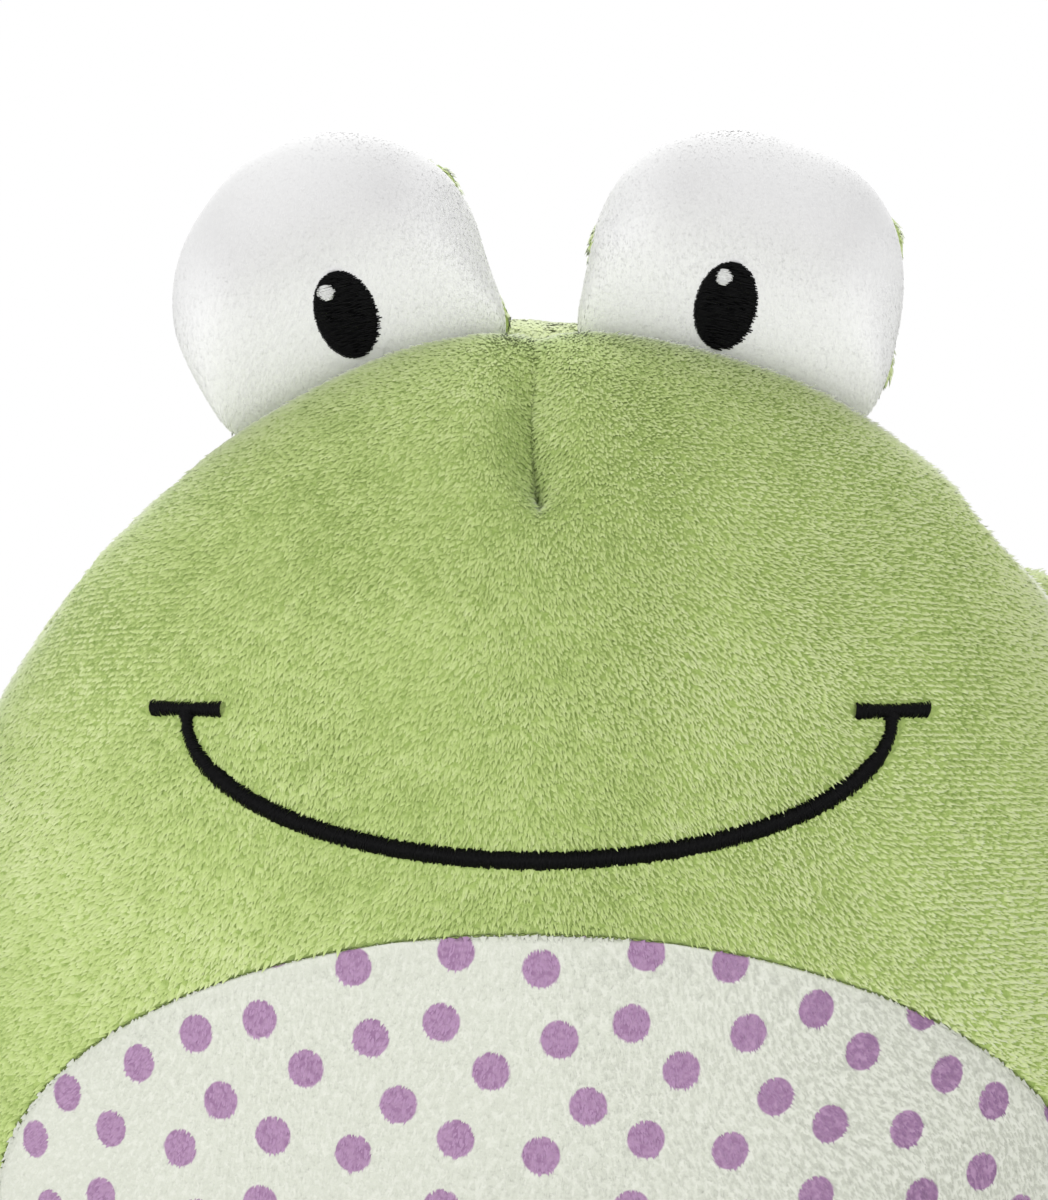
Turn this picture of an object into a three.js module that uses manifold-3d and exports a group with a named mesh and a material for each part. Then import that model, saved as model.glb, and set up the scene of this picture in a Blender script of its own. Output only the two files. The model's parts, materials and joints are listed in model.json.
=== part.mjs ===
// Plush frog pillow: an egg-shaped cushion with two stuffed eye lobes sewn into its top seam.
// Millimetres, +Z up, face towards -Y, origin on the floor under the middle of the cushion.
import * as THREE from "three";
import { mergeVertices } from "three/addons/utils/BufferGeometryUtils.js";
import Module from "manifold-3d";

const wasm = await Module();
wasm.setup();

// Cushion outline and swell
const BODY_WIDTH = 332;
const BODY_DEPTH = 176;
const WIDEST_HEIGHT = 135;
const CROWN_RISE = 195;
const BASE_DROP = 150;
const FULLNESS = 2.3;

// Cloth, thread and clearances
const CLOTH = 3;
const THREAD = 0.8;
const CLEARANCE = 0.3;
const FILL_CLEARANCE = 0.5;
const BACKING = 0.5;
const SATIN = 1.4;

// Drawn-in seams: depth of the valley and how far it reaches to each side
const RIM_DIP = 6;
const RIM_REACH = 9;
const RIM_LEAD = 8;
const DART_DIP = 4;
const DART_REACH = 7;
const DART_LENGTH = 42;
const DART_RUN = 60;
const BACK_DIP = 2.5;
const BACK_REACH = 7;
const CLOSING_DROP = 20;
const CLOSING_LENGTH = 80;
const CLOSING_STITCH = 8;
const CLOSING_SWING = 3;

// Belly panel
const BELLY_TOP = 178;
const BELLY_WIDTH = 278;
const BELLY_WIDEST = 104;
const BELLY_DROP = 150;

// Mouth embroidery
const MOUTH_HEIGHT = 232;
const MOUTH_WIDTH = 176;
const MOUTH_DROP = 36;
const MOUTH_LINE = 4.2;
const MOUTH_BAR = 18;
const MOUTH_BAR_LINE = 3.6;
const BACKING_MARGIN = 8;

// Eye lobes: middle of each base seam, outward lean over that seam in degrees, size and pinch
const LEFT_EYE_X = -49;
const RIGHT_EYE_X = 44;
const LEFT_EYE_LEAN = 3;
const RIGHT_EYE_LEAN = 2;
const EYE_WIDTH = 82;
const EYE_HEIGHT = 64;
const EYE_WIDEST = 26;
const EYE_DEPTH = 38;
const EYE_SQUARENESS = 5;
const EYE_NECK = 2;
const EYE_SPREAD = 0.42;
const EYE_CLOTH = 2.4;
const EYE_SEAT = 0.7;

// Pupil embroidery, from the middle of the base seam; the glint sits to the same side in both
const PUPIL_WIDTH = 15;
const PUPIL_HEIGHT = 22.5;
const PUPIL_RISE = 15.8;
const LEFT_PUPIL_INWARD = 1.7;
const RIGHT_PUPIL_INWARD = 2.6;
const PUPIL_TILT = 5;
const PUPIL_BACKING_WIDTH = 20;
const PUPIL_BACKING_HEIGHT = 20;
const PUPIL_BACKING_RISE = 21;
const GLINT = 4.2;
const GLINT_ASIDE = -3;
const GLINT_RISE = 6.9;
const GLINT_SATIN = 0.8;

// Derived sizes
const SEAM_GAP = THREAD + 2 * CLEARANCE + 0.2;
const HALF_SEAM = SEAM_GAP / 2;
const TURNS = 40;
const RINGS = 10;
const EYE_TURNS = 26;
const EYE_RINGS = 6;

const point = (x, y, z) => new THREE.Vector3(x, y, z);
const radians = THREE.MathUtils.degToRad;
const bump = (distance, reach) => Math.exp(-((distance / reach) ** 2));

// One closed solid skinned over a list of rings; a ring of one point closes an end.
// From ring `back` on, the rings run back the way they came and the faces are split to match.
function loft(rings, back = rings.length) {
  const positions = [];
  const faces = [];
  const starts = [];
  for (const ring of rings) {
    starts.push(positions.length / 3);
    ring.forEach((p) => positions.push(p.x, p.y, p.z));
  }
  for (let r = 0; r + 1 < rings.length; r += 1) {
    const count = Math.max(rings[r].length, rings[r + 1].length);
    for (let i = 0; i < count; i += 1) {
      const next = (i + 1) % count;
      const a = starts[r] + (rings[r].length > 1 ? i : 0);
      const b = starts[r] + (rings[r].length > 1 ? next : 0);
      const c = starts[r + 1] + (rings[r + 1].length > 1 ? next : 0);
      const d = starts[r + 1] + (rings[r + 1].length > 1 ? i : 0);
      if (r < back) faces.push(a, b, c, a, c, d);
      else faces.push(a, b, d, b, c, d);
    }
  }
  const whole = [];
  for (let i = 0; i < faces.length; i += 3) {
    const [a, b, c] = faces.slice(i, i + 3);
    if (a !== b && b !== c && c !== a) whole.push(a, b, c);
  }
  const geometry = new THREE.BufferGeometry();
  geometry.setAttribute("position", new THREE.Float32BufferAttribute(positions, 3));
  geometry.setIndex(whole);
  return facingOut(geometry);
}

// Turns the faces over when they look inwards.
function facingOut(geometry) {
  const p = geometry.attributes.position;
  const f = geometry.index;
  const [a, b, c] = [point(), point(), point()];
  let volume = 0;
  for (let i = 0; i < f.count; i += 3) {
    a.fromBufferAttribute(p, f.getX(i));
    b.fromBufferAttribute(p, f.getX(i + 1));
    c.fromBufferAttribute(p, f.getX(i + 2));
    volume += a.dot(b.cross(c));
  }
  if (volume < 0) {
    for (let i = 0; i < f.count; i += 3) {
      const second = f.getX(i + 1);
      f.setX(i + 1, f.getX(i + 2));
      f.setX(i + 2, second);
    }
  }
  return geometry;
}

// Thread or cord of round section that bends at the points it is given.
function cord(path, diameter, sides = 5) {
  const rings = [[path[0]]];
  let across = point(0, 1, 0);
  for (let i = 0; i < path.length; i += 1) {
    const ahead = path[Math.min(i + 1, path.length - 1)];
    const behind = path[Math.max(i - 1, 0)];
    const along = ahead.clone().sub(behind).normalize();
    across = across.clone().addScaledVector(along, -across.dot(along));
    if (across.length() < 0.1) across = point(along.z, 0, -along.x);
    across.normalize();
    const up = along.clone().cross(across);
    const ring = [];
    for (let s = 0; s < sides; s += 1) {
      const angle = (s / sides) * Math.PI * 2;
      const spoke = across.clone().multiplyScalar(Math.cos(angle));
      spoke.addScaledVector(up, Math.sin(angle)).multiplyScalar(diameter / 2);
      ring.push(path[i].clone().add(spoke));
    }
    rings.push(ring);
  }
  rings.push([path[path.length - 1]]);
  return loft(rings);
}

// Solids for cutting, and back to a geometry
function solid(geometry) {
  const bare = geometry.clone();
  bare.deleteAttribute("normal");
  bare.deleteAttribute("uv");
  const merged = mergeVertices(bare, 1e-4);
  const vertProperties = new Float32Array(merged.attributes.position.array);
  const triVerts = new Uint32Array(merged.index.array);
  return new wasm.Manifold(new wasm.Mesh({ numProp: 3, vertProperties, triVerts }));
}

function shaped(manifold) {
  const mesh = manifold.getMesh();
  const geometry = new THREE.BufferGeometry();
  geometry.setAttribute("position", new THREE.BufferAttribute(mesh.vertProperties, mesh.numProp));
  geometry.setIndex(new THREE.BufferAttribute(mesh.triVerts, 1));
  return geometry;
}

// A cutter through the front half: a front-view outline carried along Y.
function frontCutter(outline) {
  const options = { depth: BODY_DEPTH, bevelEnabled: false, curveSegments: 1 };
  return solid(new THREE.ExtrudeGeometry(new THREE.Shape(outline), options).rotateX(Math.PI / 2));
}

// The rim seam runs a little forward of the middle over the head.
const rimSeam = (turn) => -RIM_LEAD * Math.max(0, Math.sin(turn)) ** 2;

// A point of the cushion's skin at one turn round the front view and one depth; inset goes inwards.
function skin(turn, depth, inset) {
  const halfDepth = BODY_DEPTH / 2 - inset;
  const rise = (Math.sin(turn) > 0 ? CROWN_RISE : BASE_DROP) - inset;
  const share = Math.min(1, Math.abs(depth) / halfDepth);
  const reach = (1 - share ** FULLNESS) ** (1 / FULLNESS);
  const spot = point((BODY_WIDTH / 2 - inset) * reach * Math.cos(turn), 0, rise * reach * Math.sin(turn));
  const outward = spot.length();
  if (outward > 1) spot.multiplyScalar(1 - (RIM_DIP * bump(depth - rimSeam(turn), RIM_REACH)) / outward);
  spot.y = depth;
  const dip = depth < rimSeam(turn) ? dartDip(spot) : BACK_DIP * bump(spot.x, BACK_REACH);
  spot.multiplyScalar(1 - dip / spot.length());
  spot.z = Math.max(spot.z + WIDEST_HEIGHT, inset);
  return spot;
}

// The forehead dart fades out below its point; heights here count from the widest level.
function dartDip(spot) {
  const below = CROWN_RISE - DART_LENGTH - spot.z;
  return DART_DIP * bump(spot.x, DART_REACH) * (1 - THREE.MathUtils.smoothstep(below, -20, 12));
}

// Depth of the front skin above a place in the front view, away from the rim and the dart.
function frontDepth(x, z) {
  const rise = z > WIDEST_HEIGHT ? CROWN_RISE : BASE_DROP;
  const share = Math.hypot(x / (BODY_WIDTH / 2), (z - WIDEST_HEIGHT) / rise);
  return -(BODY_DEPTH / 2) * (1 - share ** FULLNESS) ** (1 / FULLNESS);
}
// Depth of the back skin, drawn in beside the centre-back seam
function backDepth(x, z) {
  const spot = point(x, -frontDepth(x, z), z - WIDEST_HEIGHT);
  return spot.y * (1 - (BACK_DIP * bump(x, BACK_REACH)) / spot.length());
}

const rimShare = (x, z) =>
  Math.hypot(x / (BODY_WIDTH / 2), (z - WIDEST_HEIGHT) / (z > WIDEST_HEIGHT ? CROWN_RISE : BASE_DROP));

// Turns round the outline, closer together beside the dart and the centre-back seam
function bodyTurns() {
  const turns = [];
  for (let i = 0; i < TURNS; i += 1) turns.push((i / TURNS) * Math.PI * 2);
  for (const middle of [Math.PI / 2, Math.PI * 1.5]) {
    for (const share of [0.5, 1.2]) {
      const aside = Math.asin((share * DART_REACH) / (BODY_WIDTH / 2));
      turns.push(middle - aside, middle + aside);
    }
  }
  return turns.sort((a, b) => a - b);
}
const turns = bodyTurns();

// Rings of one half of the skin from its pole (front -1, back +1) to the rim seam
function halfRings(side, inset, gap) {
  const pole = side * (BODY_DEPTH / 2 - inset);
  const rings = [[skin(0, pole, inset)]];
  for (let r = 1; r <= RINGS; r += 1) {
    const fall = Math.cos((1 - (1 - r / RINGS) ** 1.5) * (Math.PI / 2));
    rings.push(
      turns.map((turn) => {
        const end = rimSeam(turn) + side * gap;
        return skin(turn, end + (pole - end) * fall, inset);
      }),
    );
  }
  return rings;
}

// A layer of one half between two insets, open at the rim seam
function halfLayer(side, outer, inner) {
  const outside = halfRings(side, outer, HALF_SEAM);
  const inside = halfRings(side, inner, HALF_SEAM);
  return solid(loft([...outside, ...inside.reverse()], outside.length));
}

// The whole cushion at one inset, both halves joined at the rim seam
function wholeBody(inset) {
  const front = halfRings(-1, inset, HALF_SEAM);
  const back = halfRings(1, inset, HALF_SEAM);
  return solid(loft([...front, ...back.reverse()], front.length));
}

// Front-view outline of the belly panel, let out or taken in all round
function bellyPlace(angle, letOut) {
  const up = Math.sin(angle);
  const rise = (up > 0 ? BELLY_TOP - BELLY_WIDEST : BELLY_DROP) + letOut;
  return new THREE.Vector2((BELLY_WIDTH / 2 + letOut) * Math.cos(angle), BELLY_WIDEST + rise * up);
}
const BELLY_STEPS = 60;
const bellyAngles = Array.from({ length: BELLY_STEPS }, (_, i) => ((i + 0.5) / BELLY_STEPS) * Math.PI * 2);
const bellyOutline = (letOut) => bellyAngles.map((angle) => bellyPlace(angle, letOut));

// Front panels: one bowl cut along the belly arch and slit for the forehead dart
const frontBowl = halfLayer(-1, 0, CLOTH);
const dartFoot = WIDEST_HEIGHT + CROWN_RISE - DART_LENGTH;
const crown = WIDEST_HEIGHT + CROWN_RISE + CLOTH;
const dartSlit = frontCutter([
  new THREE.Vector2(-HALF_SEAM, crown),
  new THREE.Vector2(-HALF_SEAM, dartFoot),
  new THREE.Vector2(HALF_SEAM, dartFoot),
  new THREE.Vector2(HALF_SEAM, crown),
]);
const facePanel = frontBowl.subtract(frontCutter(bellyOutline(HALF_SEAM))).subtract(dartSlit);
const bellyPanel = frontBowl.intersect(frontCutter(bellyOutline(-HALF_SEAM)));

// Back panels: one bowl parted by the centre-back seam
const backBowl = halfLayer(1, 0, CLOTH);
function backHalf(side) {
  const block = new THREE.BoxGeometry(BODY_WIDTH, BODY_DEPTH * 2, 2 * crown);
  block.translate(side * (BODY_WIDTH / 2 + HALF_SEAM), 0, 0);
  return backBowl.intersect(solid(block));
}

// Stabiliser sheet behind the mouth, and the place it takes in the filling
function mouthSheet(margin) {
  const halfWidth = MOUTH_WIDTH / 2 + MOUTH_BAR / 2 + margin;
  const top = MOUTH_HEIGHT + margin;
  const foot = MOUTH_HEIGHT - MOUTH_DROP - margin;
  const corner = (top - foot) / 2;
  const outline = [];
  for (const side of [1, -1]) {
    for (let i = 0; i <= 8; i += 1) {
      const angle = (i / 8) * Math.PI - Math.PI / 2;
      const x = halfWidth - corner + corner * Math.cos(angle);
      outline.push(new THREE.Vector2(side * x, foot + corner + side * corner * Math.sin(angle)));
    }
  }
  return frontCutter(outline);
}
const sheetInset = CLOTH + CLEARANCE;
const fillInset = CLOTH + FILL_CLEARANCE;
const sheetLayer = halfLayer(-1, sheetInset, sheetInset + BACKING);
const mouthBacking = sheetLayer.intersect(mouthSheet(BACKING_MARGIN));
const sheetRoom = halfLayer(-1, 0, sheetInset + BACKING + CLEARANCE);
const bodyFill = wholeBody(fillInset).subtract(
  sheetRoom.intersect(mouthSheet(BACKING_MARGIN + CLEARANCE)),
);

// Seam threads lie half way through the cloth.
const stitchInset = CLOTH / 2;
const backTack = 3;
const rimPath = [];
for (let i = 0; i < turns.length; i += 1) {
  const turn = turns[i] - Math.PI / 2;
  rimPath.push(skin(turn, rimSeam(turn), stitchInset));
}
const bellyPath = [...bellyAngles.slice(-BELLY_STEPS / 4), ...bellyAngles.slice(0, (BELLY_STEPS * 3) / 4)]
  .map((angle) => bellyPlace(angle, 0))
  .filter((p) => rimShare(p.x, p.y) < 0.985)
  .map((p) => point(p.x, frontDepth(p.x, p.y) + stitchInset, p.y));

function middlePath(turn, from, to, steps, inset) {
  const path = [];
  for (let i = 0; i <= steps; i += 1) path.push(skin(turn, from + (to - from) * (i / steps), inset));
  return path;
}
const top = Math.PI / 2;
const foot = -Math.PI / 2;
const dartPath = middlePath(top, rimSeam(top) - backTack, rimSeam(top) - DART_RUN, 24, stitchInset).filter(
  (p) => p.z > dartFoot + 1,
);

// The centre-back seam runs over the back pole; its lowest stretch was the gap for the filling.
const backPole = BODY_DEPTH / 2 - stitchInset;
const backPath = [];
for (let i = 0; i <= 24; i += 1) {
  const swing = (i / 24) * Math.PI;
  const turn = swing < Math.PI / 2 ? top : foot;
  const depth = rimSeam(turn) + (backPole - rimSeam(turn)) * Math.sin(swing);
  backPath.push(skin(turn, depth, stitchInset));
}
const closingTop = WIDEST_HEIGHT - CLOSING_DROP;
const backSeamPath = backPath.slice(1).filter((p) => p.y > rimSeam(top) + backTack && p.z > closingTop + backTack);

// The closing stitch swings from side to side over the two folded edges.
const closingPath = [];
for (let i = 0; i <= CLOSING_LENGTH / CLOSING_STITCH; i += 1) {
  const z = closingTop - i * CLOSING_STITCH;
  const x = (i % 2 ? 1 : -1) * CLOSING_SWING;
  closingPath.push(point(x, backDepth(x, z) + CLEARANCE + THREAD / 2, z));
}

// Satin stitch lies on the face as a crowned ribbon along a front-view path.
function satin(path, width, depthAt, lift) {
  const rings = [];
  const low = lift + CLEARANCE;
  const section = [
    [-0.5, low],
    [-0.5, low + SATIN * 0.5],
    [0, low + SATIN],
    [0.5, low + SATIN * 0.5],
    [0.5, low],
    [0, low],
  ];
  for (let i = 0; i < path.length; i += 1) {
    const ahead = path[Math.min(i + 1, path.length - 1)];
    const behind = path[Math.max(i - 1, 0)];
    const side = ahead.clone().sub(behind).normalize().rotateAround(new THREE.Vector2(), Math.PI / 2);
    rings.push(
      section.map(([aside, height]) => {
        const p = path[i].clone().addScaledVector(side, aside * width);
        return point(p.x, depthAt(p.x, p.y) - height, p.y);
      }),
    );
  }
  const end = (p) => [point(p.x, depthAt(p.x, p.y) - low - SATIN * 0.3, p.y)];
  return loft([end(path[0]), ...rings, end(path[path.length - 1])]);
}

const mouthPath = [];
const mouthTop = MOUTH_HEIGHT - MOUTH_BAR_LINE / 2 - CLEARANCE;
for (let i = 0; i <= 40; i += 1) {
  const angle = Math.PI + (i / 40) * Math.PI;
  const drop = (MOUTH_DROP - MOUTH_HEIGHT + mouthTop) * Math.sin(angle);
  mouthPath.push(new THREE.Vector2((MOUTH_WIDTH / 2) * Math.cos(angle), mouthTop + drop));
}
function mouthBar(side) {
  const path = [];
  for (let i = 0; i <= 4; i += 1) {
    path.push(new THREE.Vector2((side * MOUTH_WIDTH) / 2 + (i / 4 - 0.5) * MOUTH_BAR, MOUTH_HEIGHT));
  }
  return satin(path, MOUTH_BAR_LINE, frontDepth, 0);
}

// Eye lobe in its own frame: X along the base seam, Z up out of it, Y to the back.
// Its base is hollowed to lie along the curved rim seam it is sewn into.
const eyeTurn = (x) => Math.acos(x / (BODY_WIDTH / 2));
function rimRadius(turn) {
  const squares = ((BODY_WIDTH / 2) * Math.sin(turn)) ** 2 + (CROWN_RISE * Math.cos(turn)) ** 2;
  return squares ** 1.5 / ((BODY_WIDTH / 2) * CROWN_RISE);
}

// Lowest place over the base seam with room between the two cloths
const pinchSlope = 1.1;
const eyeFloor = (inset) =>
  Math.max(inset, (pinchSlope * inset - EYE_NECK / 2 + CLEARANCE) / EYE_SPREAD);

function eyeReach(angle, inset) {
  const halfWidth = EYE_WIDTH / 2 - inset;
  const up = Math.sin(angle);
  const rise = up > 0 ? EYE_HEIGHT - EYE_WIDEST - inset : EYE_WIDEST - eyeFloor(inset);
  const n = up > 0 ? 2 : EYE_SQUARENESS;
  return (Math.abs(Math.cos(angle) / halfWidth) ** n + Math.abs(up / rise) ** n) ** (-1 / n);
}

// Half thickness at a share of the way out and a height over the base; round above, pinched below.
function eyeSwell(share, height, inset) {
  const round = (EYE_DEPTH / 2 - inset) * Math.sqrt(Math.max(0, 1 - share * share));
  const wedge = EYE_NECK / 2 + EYE_SPREAD * height - pinchSlope * inset;
  if (round <= 0.01 || wedge <= 0.01) return 0;
  return (round ** -6 + wedge ** -6) ** (-1 / 6);
}

// The seat of a lobe is the sag radius of the rim under it and the lobe's sideways lean.
function eyePoint(angle, share, inset, side, least, seat) {
  const reach = eyeReach(angle, inset) * share;
  const x = reach * Math.cos(angle);
  const height = EYE_WIDEST + reach * Math.sin(angle);
  const swell = Math.max(least, eyeSwell(share, height, inset));
  const sag = ((x * x) / (2 * seat.radius)) * (1 - height / EYE_HEIGHT);
  return point(x + seat.lean * height, side * swell, height - sag);
}

function eyeRings(side, inset, least, seat) {
  const rings = [[eyePoint(0, 0, inset, side, least, seat)]];
  for (let r = 1; r <= EYE_RINGS; r += 1) {
    const share = Math.sin((r / EYE_RINGS) * (Math.PI / 2));
    const ring = [];
    for (let i = 0; i < EYE_TURNS; i += 1) {
      ring.push(eyePoint((i / EYE_TURNS) * Math.PI * 2, share, inset, side, least, seat));
    }
    rings.push(ring);
  }
  return rings;
}

function eyeLayer(side, outer, inner, seat) {
  const outside = eyeRings(side, outer, HALF_SEAM, seat);
  const inside = eyeRings(side, inner, HALF_SEAM, seat);
  return solid(loft([...outside, ...inside.reverse()], outside.length));
}

function eyeBody(inset, seat) {
  const front = eyeRings(-1, inset, 0, seat);
  const back = eyeRings(1, inset, 0, seat);
  back.pop();
  return solid(loft([...front, ...back.reverse()], front.length));
}

// Depth of the eye's front skin above a place in its own front view
function eyeDepth(x, height, seat) {
  const upright = x - seat.lean * height;
  const angle = Math.atan2(height - EYE_WIDEST, upright);
  const share = Math.hypot(upright, height - EYE_WIDEST) / eyeReach(angle, 0);
  return -eyeSwell(share, height, 0);
}

// An oval stitched patch that lies on a surface
function patch(middle, width, height, tilt, depthAt, low, thick) {
  const oval = (share, lift) => {
    const ring = [];
    for (let i = 0; i < 20; i += 1) {
      const angle = (i / 20) * Math.PI * 2;
      const place = new THREE.Vector2((width / 2) * Math.cos(angle), (height / 2) * Math.sin(angle));
      place.multiplyScalar(share).rotateAround(new THREE.Vector2(), tilt).add(middle);
      ring.push(point(place.x, depthAt(place.x, place.y) - lift, place.y));
    }
    return ring;
  };
  const centre = (lift) => [point(middle.x, depthAt(middle.x, middle.y) - lift, middle.y)];
  const high = low + thick;
  const edge = low + thick * 0.4;
  return loft([centre(low), oval(0.5, low), oval(1, low), oval(1, edge), oval(0.8, high), oval(0.4, high), centre(high)]);
}

function ovalCutter(middle, width, height, tilt) {
  const outline = [];
  for (let i = 0; i < 20; i += 1) {
    const angle = (i / 20) * Math.PI * 2;
    const place = new THREE.Vector2((width / 2) * Math.cos(angle), (height / 2) * Math.sin(angle));
    outline.push(place.rotateAround(new THREE.Vector2(), tilt).add(middle));
  }
  return frontCutter(outline);
}

function material(color, roughness) {
  return new THREE.MeshStandardMaterial({ color, roughness, metalness: 0 });
}
const GREEN = "#a9bd74";
const PALE = "#dcddd2";
const WHITE = "#ebeae8";
const BLACK = "#0f0f0f";
const FIBRE = "#f1f0ea";
const GREEN_THREAD = "#7f8f4e";
const WHITE_THREAD = "#dedcd6";
const SHEET = "#c9c9c4";

const frog = new THREE.Group();
frog.name = "frog_pillow";

function add(group, name, geometry, color, roughness) {
  const mesh = new THREE.Mesh(geometry, material(color, roughness));
  mesh.name = name;
  group.add(mesh);
}

// Cushion
add(frog, "face_panel", shaped(facePanel), GREEN, 0.95);
add(frog, "belly_panel", shaped(bellyPanel), PALE, 0.95);
add(frog, "left_back_panel", shaped(backHalf(-1)), GREEN, 0.95);
add(frog, "right_back_panel", shaped(backHalf(1)), GREEN, 0.95);
add(frog, "body_fill", shaped(bodyFill), FIBRE, 1);
add(frog, "mouth_line", satin(mouthPath, MOUTH_LINE, frontDepth, 0), BLACK, 0.5);
add(frog, "left_mouth_bar", mouthBar(-1), BLACK, 0.5);
add(frog, "right_mouth_bar", mouthBar(1), BLACK, 0.5);
add(frog, "mouth_backing", shaped(mouthBacking), SHEET, 0.9);
add(frog, "rim_seam_thread", cord(rimPath, THREAD), GREEN_THREAD, 0.7);
add(frog, "belly_seam_thread", cord(bellyPath, THREAD), GREEN_THREAD, 0.7);
add(frog, "dart_seam_thread", cord(dartPath, THREAD), GREEN_THREAD, 0.7);
add(frog, "back_seam_thread", cord(backSeamPath, THREAD), GREEN_THREAD, 0.7);
add(frog, "closing_stitch", cord(closingPath, THREAD), GREEN_THREAD, 0.7);

// Each eye lobe stands on the rim seam, square to the outline.
function eyeLobe(name, x, lean, pupilInward) {
  const turn = eyeTurn(x);
  const outward = Math.atan2(Math.sin(turn) / CROWN_RISE, Math.cos(turn) / (BODY_WIDTH / 2));
  const inward = -Math.sign(x);
  const seat = { radius: rimRadius(turn), lean: -inward * Math.tan(radians(lean)) };
  const depthAt = (u, v) => eyeDepth(u, v, seat);
  const inset = EYE_CLOTH + CLEARANCE;

  const lobe = new THREE.Group();
  lobe.name = name;
  lobe.position.copy(skin(turn, rimSeam(turn), 0));
  lobe.rotation.y = Math.PI / 2 - outward;
  lobe.translateZ(EYE_SEAT);
  frog.add(lobe);

  const pupil = new THREE.Vector2(inward * pupilInward + seat.lean * PUPIL_RISE, PUPIL_RISE);
  const tilt = radians(PUPIL_TILT) * -inward;
  const glint = pupil.clone().add(new THREE.Vector2(GLINT_ASIDE, GLINT_RISE));
  const sheetPlace = new THREE.Vector2(pupil.x, PUPIL_BACKING_RISE);
  const sheet = ovalCutter(sheetPlace, PUPIL_BACKING_WIDTH, PUPIL_BACKING_HEIGHT, 0);
  const backing = eyeLayer(-1, inset, inset + BACKING, seat).intersect(sheet);
  const room = 2 * CLEARANCE;
  const roomy = ovalCutter(sheetPlace, PUPIL_BACKING_WIDTH + room, PUPIL_BACKING_HEIGHT + room, 0);
  const hollow = eyeLayer(-1, 0, inset + BACKING + CLEARANCE, seat).intersect(roomy);
  const fill = eyeBody(EYE_CLOTH + FILL_CLEARANCE, seat).subtract(hollow);
  const seam = [];
  for (let i = 1; i < EYE_TURNS; i += 1) {
    const angle = (i / EYE_TURNS) * Math.PI * 2 - Math.PI / 2;
    seam.push(eyePoint(angle, 1, EYE_CLOTH / 2, 1, 0, seat));
  }
  const stitched = patch(pupil, PUPIL_WIDTH, PUPIL_HEIGHT, tilt, depthAt, CLEARANCE, SATIN);
  const dot = patch(glint, GLINT, GLINT, 0, depthAt, CLEARANCE + SATIN + CLEARANCE, GLINT_SATIN);

  add(lobe, `${name}_front`, shaped(eyeLayer(-1, 0, EYE_CLOTH, seat)), WHITE, 0.95);
  add(lobe, `${name}_back`, shaped(eyeLayer(1, 0, EYE_CLOTH, seat)), GREEN, 0.95);
  add(lobe, `${name}_fill`, shaped(fill), FIBRE, 1);
  add(lobe, `${name}_seam_thread`, cord(seam, THREAD), WHITE_THREAD, 0.7);
  add(lobe, name.replace("eye", "pupil"), stitched, BLACK, 0.5);
  add(lobe, name.replace("eye", "pupil_glint"), dot, WHITE, 0.6);
  add(lobe, name.replace("eye", "pupil_backing"), shaped(backing), SHEET, 0.9);
}
eyeLobe("left_eye", LEFT_EYE_X, LEFT_EYE_LEAN, LEFT_PUPIL_INWARD);
eyeLobe("right_eye", RIGHT_EYE_X, RIGHT_EYE_LEAN, RIGHT_PUPIL_INWARD);

export default frog;
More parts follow.
